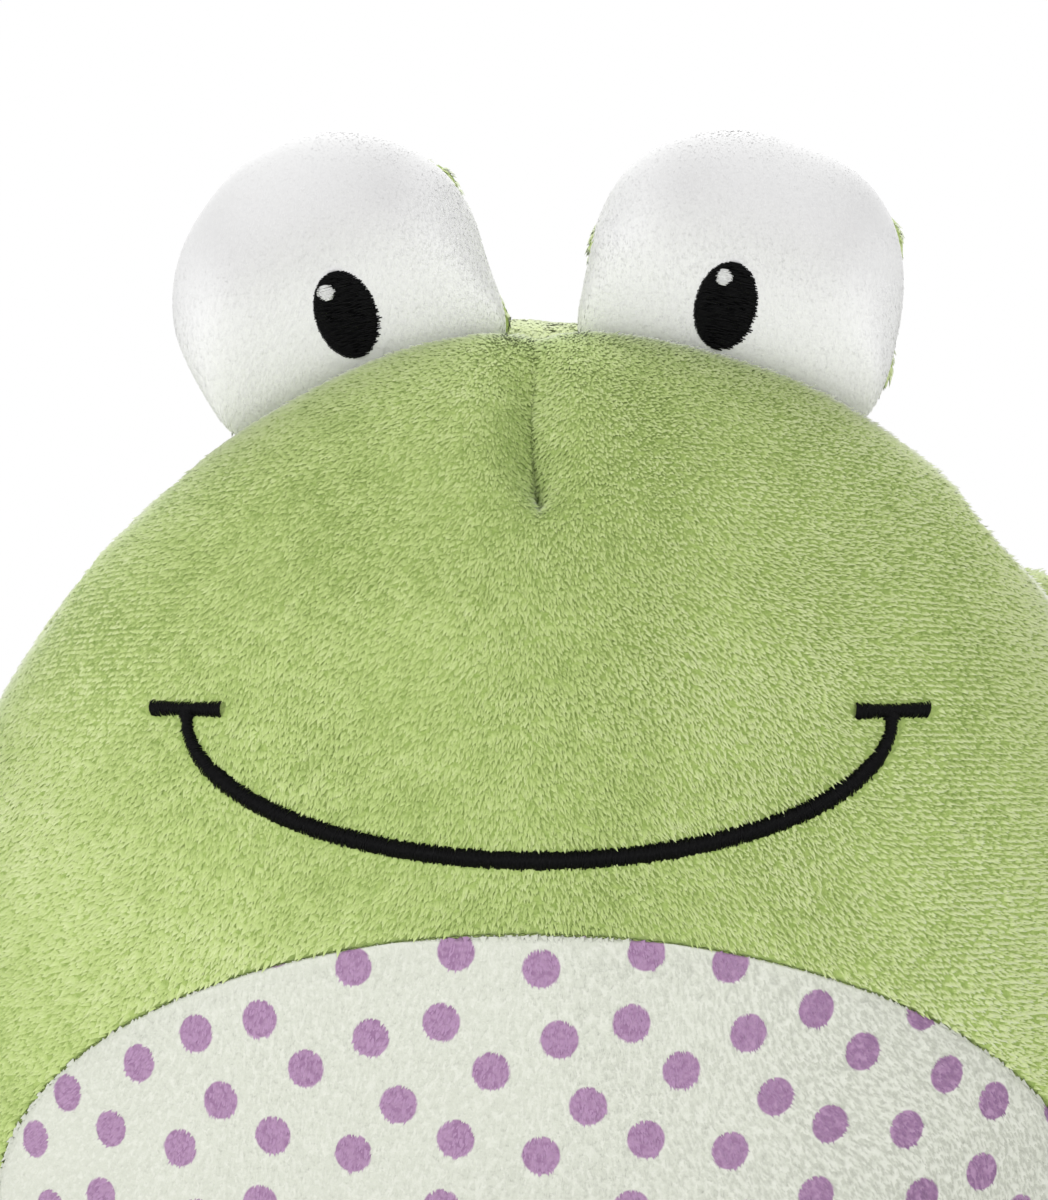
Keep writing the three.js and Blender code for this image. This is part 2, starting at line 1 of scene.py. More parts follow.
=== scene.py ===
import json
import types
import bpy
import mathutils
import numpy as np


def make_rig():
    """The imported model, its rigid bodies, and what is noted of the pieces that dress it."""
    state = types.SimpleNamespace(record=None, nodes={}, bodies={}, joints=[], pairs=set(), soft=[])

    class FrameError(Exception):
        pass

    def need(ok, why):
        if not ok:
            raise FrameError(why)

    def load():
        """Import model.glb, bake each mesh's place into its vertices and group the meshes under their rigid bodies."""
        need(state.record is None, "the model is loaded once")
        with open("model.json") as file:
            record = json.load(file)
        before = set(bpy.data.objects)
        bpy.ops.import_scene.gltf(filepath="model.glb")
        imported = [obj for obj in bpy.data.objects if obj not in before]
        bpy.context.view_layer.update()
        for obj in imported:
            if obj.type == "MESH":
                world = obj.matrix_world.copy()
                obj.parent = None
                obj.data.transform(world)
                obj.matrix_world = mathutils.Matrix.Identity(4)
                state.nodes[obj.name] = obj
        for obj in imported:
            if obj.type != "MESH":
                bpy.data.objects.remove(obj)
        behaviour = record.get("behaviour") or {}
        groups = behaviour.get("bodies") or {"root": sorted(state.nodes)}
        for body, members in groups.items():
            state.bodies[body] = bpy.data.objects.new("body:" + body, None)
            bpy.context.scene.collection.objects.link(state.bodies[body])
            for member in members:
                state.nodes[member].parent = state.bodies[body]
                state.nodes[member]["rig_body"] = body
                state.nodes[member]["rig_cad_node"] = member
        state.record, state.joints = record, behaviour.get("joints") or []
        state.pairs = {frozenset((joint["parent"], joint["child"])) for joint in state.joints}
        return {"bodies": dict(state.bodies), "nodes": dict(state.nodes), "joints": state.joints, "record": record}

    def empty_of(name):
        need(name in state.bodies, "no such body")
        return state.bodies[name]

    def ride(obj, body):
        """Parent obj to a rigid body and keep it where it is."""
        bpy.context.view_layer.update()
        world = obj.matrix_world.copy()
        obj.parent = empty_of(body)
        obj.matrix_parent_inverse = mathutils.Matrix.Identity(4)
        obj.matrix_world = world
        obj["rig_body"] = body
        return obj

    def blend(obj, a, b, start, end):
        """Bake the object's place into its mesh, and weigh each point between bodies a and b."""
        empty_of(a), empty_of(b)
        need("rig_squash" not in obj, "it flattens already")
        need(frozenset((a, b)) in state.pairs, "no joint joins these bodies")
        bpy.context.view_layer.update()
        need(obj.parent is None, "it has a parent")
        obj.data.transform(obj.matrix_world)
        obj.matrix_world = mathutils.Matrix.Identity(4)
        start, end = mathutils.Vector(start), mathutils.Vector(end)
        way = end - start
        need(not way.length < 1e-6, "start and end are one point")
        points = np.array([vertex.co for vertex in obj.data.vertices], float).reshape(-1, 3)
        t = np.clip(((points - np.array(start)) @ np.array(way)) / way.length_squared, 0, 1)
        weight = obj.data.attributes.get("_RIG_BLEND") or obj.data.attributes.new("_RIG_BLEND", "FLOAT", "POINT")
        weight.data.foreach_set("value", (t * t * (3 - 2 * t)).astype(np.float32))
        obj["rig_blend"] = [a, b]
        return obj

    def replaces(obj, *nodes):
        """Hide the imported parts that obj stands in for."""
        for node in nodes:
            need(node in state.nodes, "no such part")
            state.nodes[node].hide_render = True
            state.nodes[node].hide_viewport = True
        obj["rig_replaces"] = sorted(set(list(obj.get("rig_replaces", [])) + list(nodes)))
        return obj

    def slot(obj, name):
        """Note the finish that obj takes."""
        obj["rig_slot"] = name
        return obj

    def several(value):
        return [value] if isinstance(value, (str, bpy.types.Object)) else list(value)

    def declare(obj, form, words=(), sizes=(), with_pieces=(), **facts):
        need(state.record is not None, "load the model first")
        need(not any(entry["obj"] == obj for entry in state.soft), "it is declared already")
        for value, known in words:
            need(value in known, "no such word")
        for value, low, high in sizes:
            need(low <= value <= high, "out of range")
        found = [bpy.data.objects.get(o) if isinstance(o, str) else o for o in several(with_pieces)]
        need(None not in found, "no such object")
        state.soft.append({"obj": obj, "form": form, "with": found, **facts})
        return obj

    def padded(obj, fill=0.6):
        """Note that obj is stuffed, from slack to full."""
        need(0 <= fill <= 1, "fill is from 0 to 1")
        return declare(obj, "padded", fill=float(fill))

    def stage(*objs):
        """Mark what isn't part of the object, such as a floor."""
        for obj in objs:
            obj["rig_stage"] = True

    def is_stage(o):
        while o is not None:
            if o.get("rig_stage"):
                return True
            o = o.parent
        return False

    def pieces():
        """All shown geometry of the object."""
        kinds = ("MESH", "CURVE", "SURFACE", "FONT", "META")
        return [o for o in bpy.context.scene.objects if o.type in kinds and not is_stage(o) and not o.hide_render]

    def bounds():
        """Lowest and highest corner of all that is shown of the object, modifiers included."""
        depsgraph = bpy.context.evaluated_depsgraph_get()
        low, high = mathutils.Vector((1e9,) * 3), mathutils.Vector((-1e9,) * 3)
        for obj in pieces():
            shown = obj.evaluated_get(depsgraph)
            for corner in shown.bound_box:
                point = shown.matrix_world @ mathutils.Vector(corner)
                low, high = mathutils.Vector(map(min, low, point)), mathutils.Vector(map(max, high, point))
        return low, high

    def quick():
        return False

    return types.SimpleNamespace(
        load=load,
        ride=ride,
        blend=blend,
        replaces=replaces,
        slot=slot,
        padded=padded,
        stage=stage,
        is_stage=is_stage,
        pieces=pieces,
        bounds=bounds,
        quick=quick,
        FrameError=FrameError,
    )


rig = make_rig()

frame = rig.load()
cad_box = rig.bounds()

import json
import math

import bpy
import numpy as np

# Filling of the cushion: loose polyester fibre stuffed in through a gap in the centre-back seam.
# It presses the plush outwards between the seams, so the cushion's shape is worked out here:
# cloth held fast along its seams and swollen by the filling's pressure.
MM = 0.001
HALF_WIDTH, HALF_DEPTH, FULLNESS = 166 * MM, 88 * MM, 2.3
WIDEST_HEIGHT, CROWN_RISE, BASE_DROP = 135 * MM, 195 * MM, 150 * MM
RIM_DIP, RIM_REACH, RIM_LEAD = 6 * MM, 9 * MM, 8 * MM
GATHER, GATHER_STEP, GATHER_AT, GATHER_REACH = 1.1 * MM, 16 * MM, 13 * MM, 10 * MM
SIDE_FOLD, FOLD_AT, FOLD_REACH = 6.5 * MM, 16 * MM, 16 * MM
FOLD_TOP, FOLD_FOOT = math.radians(44.5), math.radians(6)
FOLD_NOTCH, NOTCH_AT, NOTCH_REACH, NOTCH_PAST, NOTCH_WIDE = 2.4 * MM, 4 * MM, 18 * MM, 0.02, 0.05
HUMP, HUMP_X, HUMP_REACH, HUMP_AT, HUMP_DEEP = 2 * MM, -12 * MM, 22 * MM, 10 * MM, 14 * MM
CROWN_LEAN, LEAN_FOOT, LEAN_TOP = 4.2 * MM, 70 * MM, 160 * MM
CAGE_CELLS, CAGE_INSET, HOLD_FROM, HOLD_FULL = 64, 4 * MM, 0.985, 0.999
PRESSURE, SLACK, BENDING, SWELL_FRAMES, SWELL_CAP = 4.0, 0.02, 2.0, 20, 5 * MM
FILL_INSET, FILL_CELLS, FILL_LUMP, FILL_WAVE, FILLED = 11 * MM, 48, 0.7 * MM, 260, 0.9
DART_ROOM, ROOM_HALF, ROOM_FOOT, ROOM_TOP = 14 * MM, 15 * MM, 262 * MM, 284 * MM


def bell(distance, reach):
    return np.exp(-((distance / reach) ** 2))


def ease(value, low, high):
    share = np.clip((value - low) / (high - low), 0, 1)
    return share * share * (3 - 2 * share)


def rim_seam(turn):
    return -RIM_LEAD * np.maximum(0, np.sin(turn)) ** 2


def sewn_skin(side, turn, share, inset, lean=CROWN_LEAN):
    """Cut-and-sewn shape: share 0 is the middle of the front (-1) or back (+1), 1 is the rim seam."""
    seam, pole = rim_seam(turn), side * (HALF_DEPTH - inset)
    depth = seam + (pole - seam) * np.cos(share * math.pi / 2)
    fall = np.minimum(1, np.abs(depth) / (HALF_DEPTH - inset))
    reach = (1 - fall**FULLNESS) ** (1 / FULLNESS)
    rise = np.where(np.sin(turn) > 0, CROWN_RISE, BASE_DROP) - inset
    spot = np.stack([(HALF_WIDTH - inset) * reach * np.cos(turn), depth, rise * reach * np.sin(turn)], -1)
    outward = np.maximum(np.hypot(spot[..., 0], spot[..., 2]), 1 * MM)
    push = -RIM_DIP * bell(depth - seam, RIM_REACH)
    notch = bell(turn - FOLD_TOP - NOTCH_PAST, NOTCH_WIDE) * bell(depth - NOTCH_AT, NOTCH_REACH)
    push = push - FOLD_NOTCH * notch
    if side > 0:
        # The back is gathered into the rim, folds over it at the right and humps between the eyes.
        ripple = np.sin(turn * HALF_WIDTH / GATHER_STEP * 2 * math.pi + 2 * np.sin(3 * turn))
        uneven = np.abs(np.cos(turn)) * (0.6 + 0.4 * np.sin(5 * turn + 1))
        push = push + GATHER * ripple * uneven * bell(depth - GATHER_AT, GATHER_REACH)
        fold = 1 - ease(turn, FOLD_TOP - 0.1, FOLD_TOP + 0.02)
        fold = fold * ease(turn, FOLD_FOOT - 0.3, FOLD_FOOT + 0.2) * (1 - bell(depth - seam, 5 * MM))
        push = push + SIDE_FOLD * fold * bell(depth - FOLD_AT, FOLD_REACH)
        hump = bell(spot[..., 0] - HUMP_X, HUMP_REACH) * (np.sin(turn) > 0)
        push = push + HUMP * hump * bell(depth - HUMP_AT, HUMP_DEEP)
    spot[..., 0] *= 1 + push / outward
    spot[..., 2] *= 1 + push / outward
    shoulder = ease(spot[..., 2], LEAN_FOOT, LEAN_TOP) * ease(np.abs(np.cos(turn)), 0.15, 0.45)
    spot[..., 0] += lean * shoulder * ease(share, 0.6, 0.95)
    spot[..., 2] = np.maximum(spot[..., 2] + WIDEST_HEIGHT, inset)
    return spot


def disc_from_square(across, up):
    return across * np.sqrt(1 - up * up / 2), up * np.sqrt(1 - across * across / 2)


def square_from_disc(u, v):
    step = 2 * math.sqrt(2)
    root = lambda value: np.sqrt(np.maximum(value, 0))
    wide, tall = 2 + u * u - v * v, 2 - u * u + v * v
    across = (root(wide + step * u) - root(wide - step * u)) / 2
    up = (root(tall + step * v) - root(tall - step * v)) / 2
    return across, up


def square_grid(columns, rows, low=(-1, -1), high=(1, 1)):
    return np.meshgrid(np.linspace(low[0], high[0], columns + 1), np.linspace(low[1], high[1], rows + 1))


def disc_points(cells):
    """Turn and share of a square grid's points when it is drawn out to a disc."""
    u, v = disc_from_square(*square_grid(cells, cells))
    return np.arctan2(v, u), np.hypot(u, v)


def grid_faces(index, flip=False):
    quads = np.stack([index[:-1, :-1], index[:-1, 1:], index[1:, 1:], index[1:, :-1]], -1).reshape(-1, 4)
    return quads[:, ::-1] if flip else quads


def new_piece(name, points, faces, finish=None):
    points, faces = np.asarray(points, np.float32).reshape(-1, 3), np.asarray(faces, np.int32)
    corners = faces.shape[1]
    mesh = bpy.data.meshes.new(name)
    mesh.vertices.add(len(points))
    mesh.vertices.foreach_set("co", points.ravel())
    mesh.loops.add(faces.size)
    mesh.loops.foreach_set("vertex_index", faces.ravel())
    mesh.polygons.add(len(faces))
    mesh.polygons.foreach_set("loop_start", np.arange(0, faces.size, corners, dtype=np.int32))
    mesh.update(calc_edges=True)
    mesh.validate()
    mesh.shade_smooth()
    piece = bpy.data.objects.new(name, mesh)
    bpy.context.scene.collection.objects.link(piece)
    if finish:
        mesh.materials.append(finish)
    return piece


def closed_form(cells, skin):
    """Points and faces of a closed form, and the point numbers of its back (1) and front (-1) grids,
    which share their rim."""
    count, inner = (cells + 1) ** 2, (cells - 1) ** 2
    front = np.arange(count).reshape(cells + 1, cells + 1)
    back = front.copy()
    back[1:-1, 1:-1] = count + np.arange(inner).reshape(cells - 1, cells - 1)
    points, grids = np.empty((count + inner, 3)), {1: back, -1: front}
    for side, grid in grids.items():
        points[grid] = skin(side, *disc_points(cells))
    return points, np.concatenate([grid_faces(front), grid_faces(back, flip=True)]), grids


def swell(cage, pinned):
    """Runs the cloth under the filling's pressure and returns how far each point of the cage moved."""
    group = cage.vertex_groups.new(name="seams")
    for number in np.nonzero(pinned > 0.01)[0]:
        group.add([int(number)], float(pinned[number]), "REPLACE")
    cloth = cage.modifiers.new("cloth", "CLOTH")
    set_up = cloth.settings
    set_up.vertex_group_mass = group.name
    set_up.use_pressure = True
    set_up.uniform_pressure_force = PRESSURE
    set_up.effector_weights.gravity = 0
    set_up.shrink_min = -SLACK
    set_up.bending_stiffness = BENDING
    cloth.point_cache.frame_end = SWELL_FRAMES
    scene = bpy.context.scene
    for number in range(1, SWELL_FRAMES + 1):
        scene.frame_set(number)
    seen = cage.evaluated_get(bpy.context.evaluated_depsgraph_get())
    ends, starts = np.empty(len(pinned) * 3, np.float32), np.empty(len(pinned) * 3, np.float32)
    seen.data.vertices.foreach_get("co", ends)
    cage.data.vertices.foreach_get("co", starts)
    scene.frame_set(1)
    moved = (ends - starts).reshape(-1, 3).astype(float)
    far = np.maximum(np.linalg.norm(moved, axis=1), 1e-9)
    moved *= np.minimum(1, SWELL_CAP / far)[:, None]
    bpy.data.objects.remove(cage)
    return moved


cage_points, cage_faces, cage_grids = closed_form(
    CAGE_CELLS, lambda side, turn, share: sewn_skin(side, turn, share, CAGE_INSET))
seam_hold = np.zeros(len(cage_points))
for grid in cage_grids.values():
    seam_hold[grid] = ease(disc_points(CAGE_CELLS)[1], HOLD_FROM, HOLD_FULL)
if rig.quick():
    swelling = np.zeros((len(cage_points), 3))
else:
    swelling = swell(new_piece("cushion_cage", cage_points, cage_faces), seam_hold)
swelling_of = {side: swelling[grid] for side, grid in cage_grids.items()}


def moved_at(grid, across, up):
    """Smooth value of a grid of moves at places between its points."""
    cells = len(grid) - 1
    steps = []
    for place in (up, across):
        spot = np.clip((place + 1) / 2 * cells, 0, cells)
        low = np.minimum(spot.astype(int), cells - 1)
        f = spot - low
        weights = (f * (f * (2 - f) - 1) / 2, 1 + f * f * (1.5 * f - 2.5), f * (f * (4 - 3 * f) + 1) / 2,
                   f * f * (f - 1) / 2)
        steps.append([(np.clip(low + k - 1, 0, cells), weights[k]) for k in range(4)])
    total = 0
    for row, row_weight in steps[0]:
        for column, column_weight in steps[1]:
            total = total + grid[row, column] * (row_weight * column_weight)[..., None]
    return total


def cushion(side, turn, share, inset):
    """The stuffed cushion's skin, that far inside its outermost surface."""
    spot = sewn_skin(side, turn, share, inset)
    u, v = share * np.cos(turn), share * np.sin(turn)
    spot = spot + moved_at(swelling_of[side], *square_from_disc(u, v))
    spot[..., 2] = np.maximum(spot[..., 2], inset)
    return spot


def drawn_in(spot, dip):
    """Moves points towards the heart of the cushion, as a seam or stitching draws the cloth in."""
    inward = spot - [0, 0, WIDEST_HEIGHT]
    return spot - inward * (dip / np.maximum(np.linalg.norm(inward, axis=-1), 1 * MM))[..., None]


class Dye:
    """A value on its way through a material's nodes; sums on it add Math nodes."""

    def __init__(self, tree, socket=None):
        self.tree, self.socket = tree, socket

    def node(self, kind, settings=None, sockets=None, output=0):
        made = self.tree.nodes.new("ShaderNode" + kind)
        for key, value in (settings or {}).items():
            setattr(made, key, value)
        for key, value in (sockets or {}).items():
            if isinstance(value, Dye):
                self.tree.links.new(value.socket, made.inputs[key])
            else:
                made.inputs[key].default_value = value
        return Dye(self.tree, made.outputs[output] if made.outputs else None)

    def sum(self, operation, first, second=0.0):
        return self.node("Math", {"operation": operation}, {0: first, 1: second})

    def __add__(self, other):
        return self.sum("ADD", self, other)

    def __sub__(self, other):
        return self.sum("SUBTRACT", self, other)

    def __rsub__(self, other):
        return self.sum("SUBTRACT", other, self)

    def __mul__(self, other):
        return self.sum("MULTIPLY", self, other)

    def __pow__(self, other):
        return self.sum("POWER", self, other)

    __radd__, __rmul__ = __add__, __mul__

    def clipped(self, low, high):
        """0 below low, 1 above high and an eased step between."""
        return self.node("MapRange", {"interpolation_type": "SMOOTHSTEP"}, {0: self, 1: low, 2: high})

    def between(self, first, second):
        """Colour that goes from the first to the second as this value goes from 0 to 1."""
        return self.node("Mix", {"data_type": "RGBA"}, {0: self, 6: first, 7: second}, 2)

    def noise(self, size, place, detail=2.0):
        """Cloudy value round a half, with patches of about that size in metres."""
        return self.node("TexNoise", None, {"Vector": place, "Scale": 1 / size, "Detail": detail})

    def bump(self, height, depth):
        return self.node("Bump", None, {"Strength": 1.0, "Distance": depth, "Height": height})


def colour(red, green, blue):
    """Colour as seen on screen, 0 to 255, for a shader."""
    line = lambda c: c / 12.92 if c <= 0.04045 else ((c + 0.055) / 1.055) ** 2.4
    return tuple(line(c / 255) for c in (red, green, blue)) + (1.0,)


def finish(name, dress, **constant):
    """A material of one shader; dress returns the sockets that change over the surface."""
    made = bpy.data.materials.new(name)
    made.use_nodes = True
    made.node_tree.nodes.clear()
    dye = Dye(made.node_tree)
    fixed = {key.replace("_", " "): value for key, value in constant.items()}
    shader = dye.node("BsdfPrincipled", None, {**fixed, **dress(dye)})
    dye.node("OutputMaterial", None, {"Surface": shader})
    return made


def place_of(dye):
    return dye.node("TexCoord", None, None, 3)


def fibre_wadding(dye):
    place = place_of(dye)
    lumps, strands = dye.noise(14 * MM, place), dye.noise(1.2 * MM, place, 4.0)
    tone = (lumps * 0.6 + strands * 0.4).clipped(0.3, 0.7)
    return {"Base Color": tone.between(colour(222, 220, 212), colour(243, 242, 237)),
            "Normal": dye.bump(strands + lumps, 0.8 * MM)}


def tie(piece, body, slot, solid=None, fill=None, bend=None):
    """Gives a piece its body, its material slot, the solid that it stands for and its stuffing; a piece
    with a bend gives way between the cushion and that body."""
    if bend:
        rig.blend(piece, "body", body, *bend)
    else:
        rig.ride(piece, body)
    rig.slot(piece, slot)
    if solid:
        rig.replaces(piece, solid)
    if fill:
        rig.padded(piece, fill=fill)


wadding = finish("polyester_wadding", fibre_wadding, Roughness=1.0, Sheen_Weight=0.3)
fill_points, fill_faces, _ = closed_form(
    FILL_CELLS, lambda side, turn, share: cushion(side, turn, share, FILL_INSET))
under_dart = bell(fill_points[:, 0], ROOM_HALF) * ease(fill_points[:, 2], ROOM_FOOT, ROOM_TOP)
fill_points = drawn_in(fill_points, DART_ROOM * under_dart * (fill_points[:, 1] < 0))
lumpy = np.sin(fill_points * FILL_WAVE).prod(1)
lumpy = lumpy + 0.5 * np.sin(fill_points[:, ::-1] * 2 * FILL_WAVE).prod(1)
fill_points += (fill_points - [0, 0, WIDEST_HEIGHT]) * (lumpy * FILL_LUMP / HALF_DEPTH)[:, None]
body_filling = new_piece("body_filling", fill_points, fill_faces, wadding)
tie(body_filling, "body", "fibre_filling", "body_fill", FILLED)

# Back panels: two halves of green short-pile plush, joined down the centre back and to the front
# along the rim seam. Knitted backing with a brushed pile, so each panel is a thin cloth and its pile.
PLUSH_INSET, PLUSH_THICK = 2.4 * MM, 1.2 * MM
TUCK, TUCK_REACH, PRESSED, PRESSED_REACH = 1.0 * MM, 2.0 * MM, 0.1, 8 * MM
BACK_DIP, BACK_REACH, BACK_CELLS = 3.5 * MM, 6 * MM, 150
PILE_LONG, PILE_WIDE, PILE_LIFT, PILE_STEP, PILE_BOW = 2.2 * MM, 1.1 * MM, 0.5, 0.85 * MM, 0.6
PILE_RIDGE, RIDGE_AT, PILE_SUNK, PILE_FLOOR, PILE_SEED = 0.8, 0.35, 0.4 * MM, 0.3 * MM, 7
VEER, VEER_STEP, VEER_CHANCE, RISE, RISE_STEP, RISE_CHANCE = 0.35, 18 * MM, 0.16, 0.35, 9 * MM, 0.33
LONG_CHANCE, WIDE_CHANCE = 0.25, 0.2
ROW_PITCH, ROW_PAINTED_LIGHT, ROW_PAINTED_SHADE, ROW_SHORT = 1.6 * MM, 0.24, 0.8, 0.4
ALONG_TUFT = (0.0, 0.0, 0.45, 1.0)
BAKE_SPOTS = 0.15 + 0.7 * np.array([[0, 0], [0.35, 0], [1, 0.45], [0, 1]])
BACK_PILE = {"wide": 1.3 * MM, "step": 1.02 * MM}


def unit(vectors):
    return vectors / np.maximum(np.linalg.norm(vectors, axis=-1, keepdims=True), 1e-12)


def normals_of(points):
    """Outward normals of a grid laid out with columns to the right and rows upwards, seen from outside."""
    slant = np.cross(points[1:, 1:] - points[:-1, :-1], points[1:, :-1] - points[:-1, 1:])
    slant = np.pad(slant, ((1, 1), (1, 1), (0, 0)))
    return unit(slant[:-1, :-1] + slant[1:, :-1] + slant[:-1, 1:] + slant[1:, 1:])


def edge_distance(points):
    """Distance along a grid's rows and columns to the nearest of its four sewn edges."""
    near = []
    for axis in (0, 1):
        run = np.cumsum(np.linalg.norm(np.diff(points, axis=axis), axis=-1), axis)
        run = np.insert(run, 0, 0, axis)
        near.append(np.minimum(run, run.take([-1], axis) - run))
    return np.minimum(*near)


def cloth_panel(name, points, finish, tuck=TUCK, thick=PLUSH_THICK):
    """A sewn panel as a thin closed cloth, turned in and pressed flat along its sewn edges."""
    normal = normals_of(points)
    far = edge_distance(points)[..., None]
    outer = points - normal * tuck * (1 - ease(far, 0, TUCK_REACH))
    inner = outer - normal * thick * (PRESSED + (1 - PRESSED) * ease(far, 0, PRESSED_REACH))
    rows, columns = points.shape[:2]
    face = np.arange(rows * columns).reshape(rows, columns)
    behind = face + rows * columns
    rim = np.concatenate([face[0, :-1], face[:-1, -1], face[-1, :0:-1], face[:0:-1, 0]])
    ahead = np.roll(rim, -1)
    edge = np.stack([ahead, rim, rim + rows * columns, ahead + rows * columns], -1)
    faces = np.concatenate([grid_faces(face), grid_faces(behind, flip=True), edge])
    return new_piece(name, np.concatenate([outer.reshape(-1, 3), inner.reshape(-1, 3)]), faces, finish)


def swirl(points, size, seed):
    """Slow wandering value from -1 to 1 over a surface."""
    turned = points @ np.array([[0.8, 0.5, 0.3], [-0.5, 0.8, 0.2], [0.1, -0.3, 0.9]]) / size + seed
    return (np.sin(turned[..., 0] + 1.7 * np.sin(turned[..., 1])) +
            np.sin(turned[..., 1] * 1.3 + 1.4 * np.sin(turned[..., 2]))) / 2


def scattered(points, step, chance):
    """Places spread evenly over a grid, about a step apart, and the outward normal at each."""
    normal = normals_of(points)
    corners = [points[:-1, :-1], points[:-1, 1:], points[1:, 1:], points[1:, :-1]]
    area = np.linalg.norm(np.cross(corners[2] - corners[0], corners[3] - corners[1]), axis=-1) / 2
    count = np.floor(area / step**2 + chance.random(area.shape)).astype(int).ravel()
    row, column = np.divmod(np.repeat(np.arange(area.size), count), area.shape[1])
    g, f = chance.random((2, len(row)))

    def at(grid):
        low = grid[row, column] * (1 - f)[:, None] + grid[row, column + 1] * f[:, None]
        high = grid[row + 1, column] * (1 - f)[:, None] + grid[row + 1, column + 1] * f[:, None]
        return low * (1 - g)[:, None] + high * g[:, None]

    return at(points), unit(at(normal))


def along_skin(vectors, out):
    return unit(vectors - out * (vectors * out).sum(1, keepdims=True))


def even(value):
    return lambda root: np.full(len(root), value)


def mark(mesh, name, values):
    """Keeps a number or a vector at each point of a mesh for its material."""
    values = np.asarray(values, np.float32)
    kind, key = ("FLOAT", "value") if values.ndim == 1 else ("FLOAT_VECTOR", "vector")
    mesh.attributes.new(name, kind, "POINT").data.foreach_set(key, values.ravel())


def pile(name, points, lay, finish, seed, keep=None, long=PILE_LONG, wide=PILE_WIDE, lift=PILE_LIFT,
         step=PILE_STEP, bow=PILE_BOW, ridged=PILE_RIDGE, printed=None, rows=None, tone_and_painted_light=even(0.0),
         calm=even(0.0), painted_root_shade=even(1.0)):
    """Tufts of pile over a grid: each is a closed tapering spike that lies along the lay. Tone with painted
    light and shade makes them paler or darker, calm lays them flat and painted shade darkens their roots
    against their tips, as much as the root shade gives."""
    chance = np.random.default_rng(seed)
    root, out = scattered(points, step, chance)
    flow = along_skin(lay(root), out)
    if keep is not None:
        kept = np.minimum(keep(root), keep(root + 0.6 * long * flow)) > chance.random(len(root))
        root, out, flow = root[kept], out[kept], flow[kept]
    shade, short = tone_and_painted_light(root), np.ones(len(root))
    if rows is not None:
        phase, strength, down = rows(root)
        down = along_skin(down, out)
        root = root + down * (ROW_PITCH / (2 * math.pi) * strength * np.sin(phase))[:, None]
        # Painted light on the ridge of each row and painted shade in the gap between rows.
        shade = shade + strength * (ROW_PAINTED_LIGHT - ROW_PAINTED_SHADE * (0.5 - 0.5 * np.cos(phase)) ** 2)
        short = 1 - ROW_SHORT * strength * np.abs((flow * down).sum(1))
    aside = np.cross(out, flow)
    veer = VEER * swirl(root, VEER_STEP, seed) + VEER_CHANCE * chance.standard_normal(len(root))
    flow = flow * np.cos(veer)[:, None] + aside * np.sin(veer)[:, None]
    aside = np.cross(out, flow)
    vary = lambda amount: 1 + amount * chance.standard_normal(len(root)).clip(-2, 2)
    size = long * (short * vary(LONG_CHANCE))[:, None]
    flat = (1 - calm(root))[:, None]
    half = 0.5 * wide * vary(WIDE_CHANCE)[:, None] * (2 - flat)
    rise = 1 + RISE * swirl(root, RISE_STEP, seed + 3) + RISE_CHANCE * chance.standard_normal(len(root))
    rise = flat * lift * rise.clip(0.3, 3)[:, None]
    slope = flow * np.cos(rise) + out * np.sin(rise)
    ridge = root + size * RIDGE_AT * slope + out * half * ridged * flat
    sunk = root - out * PILE_SUNK
    spots = np.stack([sunk - aside * half, sunk + aside * half, ridge, root + size * slope], 1)
    spots[..., 2] = np.maximum(spots[..., 2], PILE_FLOOR)
    bow = bow * flat
    round_ = np.stack([unit(out - bow * aside), unit(out + bow * aside), unit(out - 0.2 * bow * flow),
                       unit(out + 0.7 * bow * flow)], 1)
    start = np.arange(len(root))[:, None, None] * 4
    faces = (start + np.array([[0, 2, 3], [2, 1, 3], [0, 3, 1], [0, 1, 2]])).reshape(-1, 3)
    tufts = new_piece(name, spots, faces[:, ::-1], finish)
    mesh = tufts.data
    mesh.normals_split_custom_set_from_vertices(round_.reshape(-1, 3))
    # Roots darker than tips in the materials is painted shade, scaled here for each tuft.
    mark(mesh, "along_tuft", (0.5 + (np.array(ALONG_TUFT) - 0.5) * painted_root_shade(root)[:, None]).ravel())
    mark(mesh, "tuft_root", np.repeat(root, 4, 0))
    mark(mesh, "tone_and_painted_light", np.repeat(shade, 4))
    if printed is not None:
        mark(mesh, "print_place", printed((0.6 * spots + 0.4 * root[:, None]).reshape(-1, 3)))
    # Each tuft has a small square of its own on the map that its colours are baked to.
    side = math.ceil(math.sqrt(len(root)))
    square = np.stack([np.arange(len(root)) % side, np.arange(len(root)) // side], 1)
    places = ((square[:, None] + BAKE_SPOTS) / side).reshape(-1, 2)[faces[:, ::-1].ravel()]
    mesh.uv_layers.new(name="OFBake").data.foreach_set("uv", places.astype(np.float32).ravel())
    return tufts


def attribute(dye, name, output):
    return dye.node("Attribute", {"attribute_name": name}, None, output)


def tuft_values(dye):
    """Each tuft's root, the place along it, its tone with painted light and shade, and a chance value of its own."""
    root = attribute(dye, "tuft_root", 1)
    each = dye.node("TexWhiteNoise", {"noise_dimensions": "3D"}, {"Vector": root})
    return root, attribute(dye, "along_tuft", 2), attribute(dye, "tone_and_painted_light", 2), each


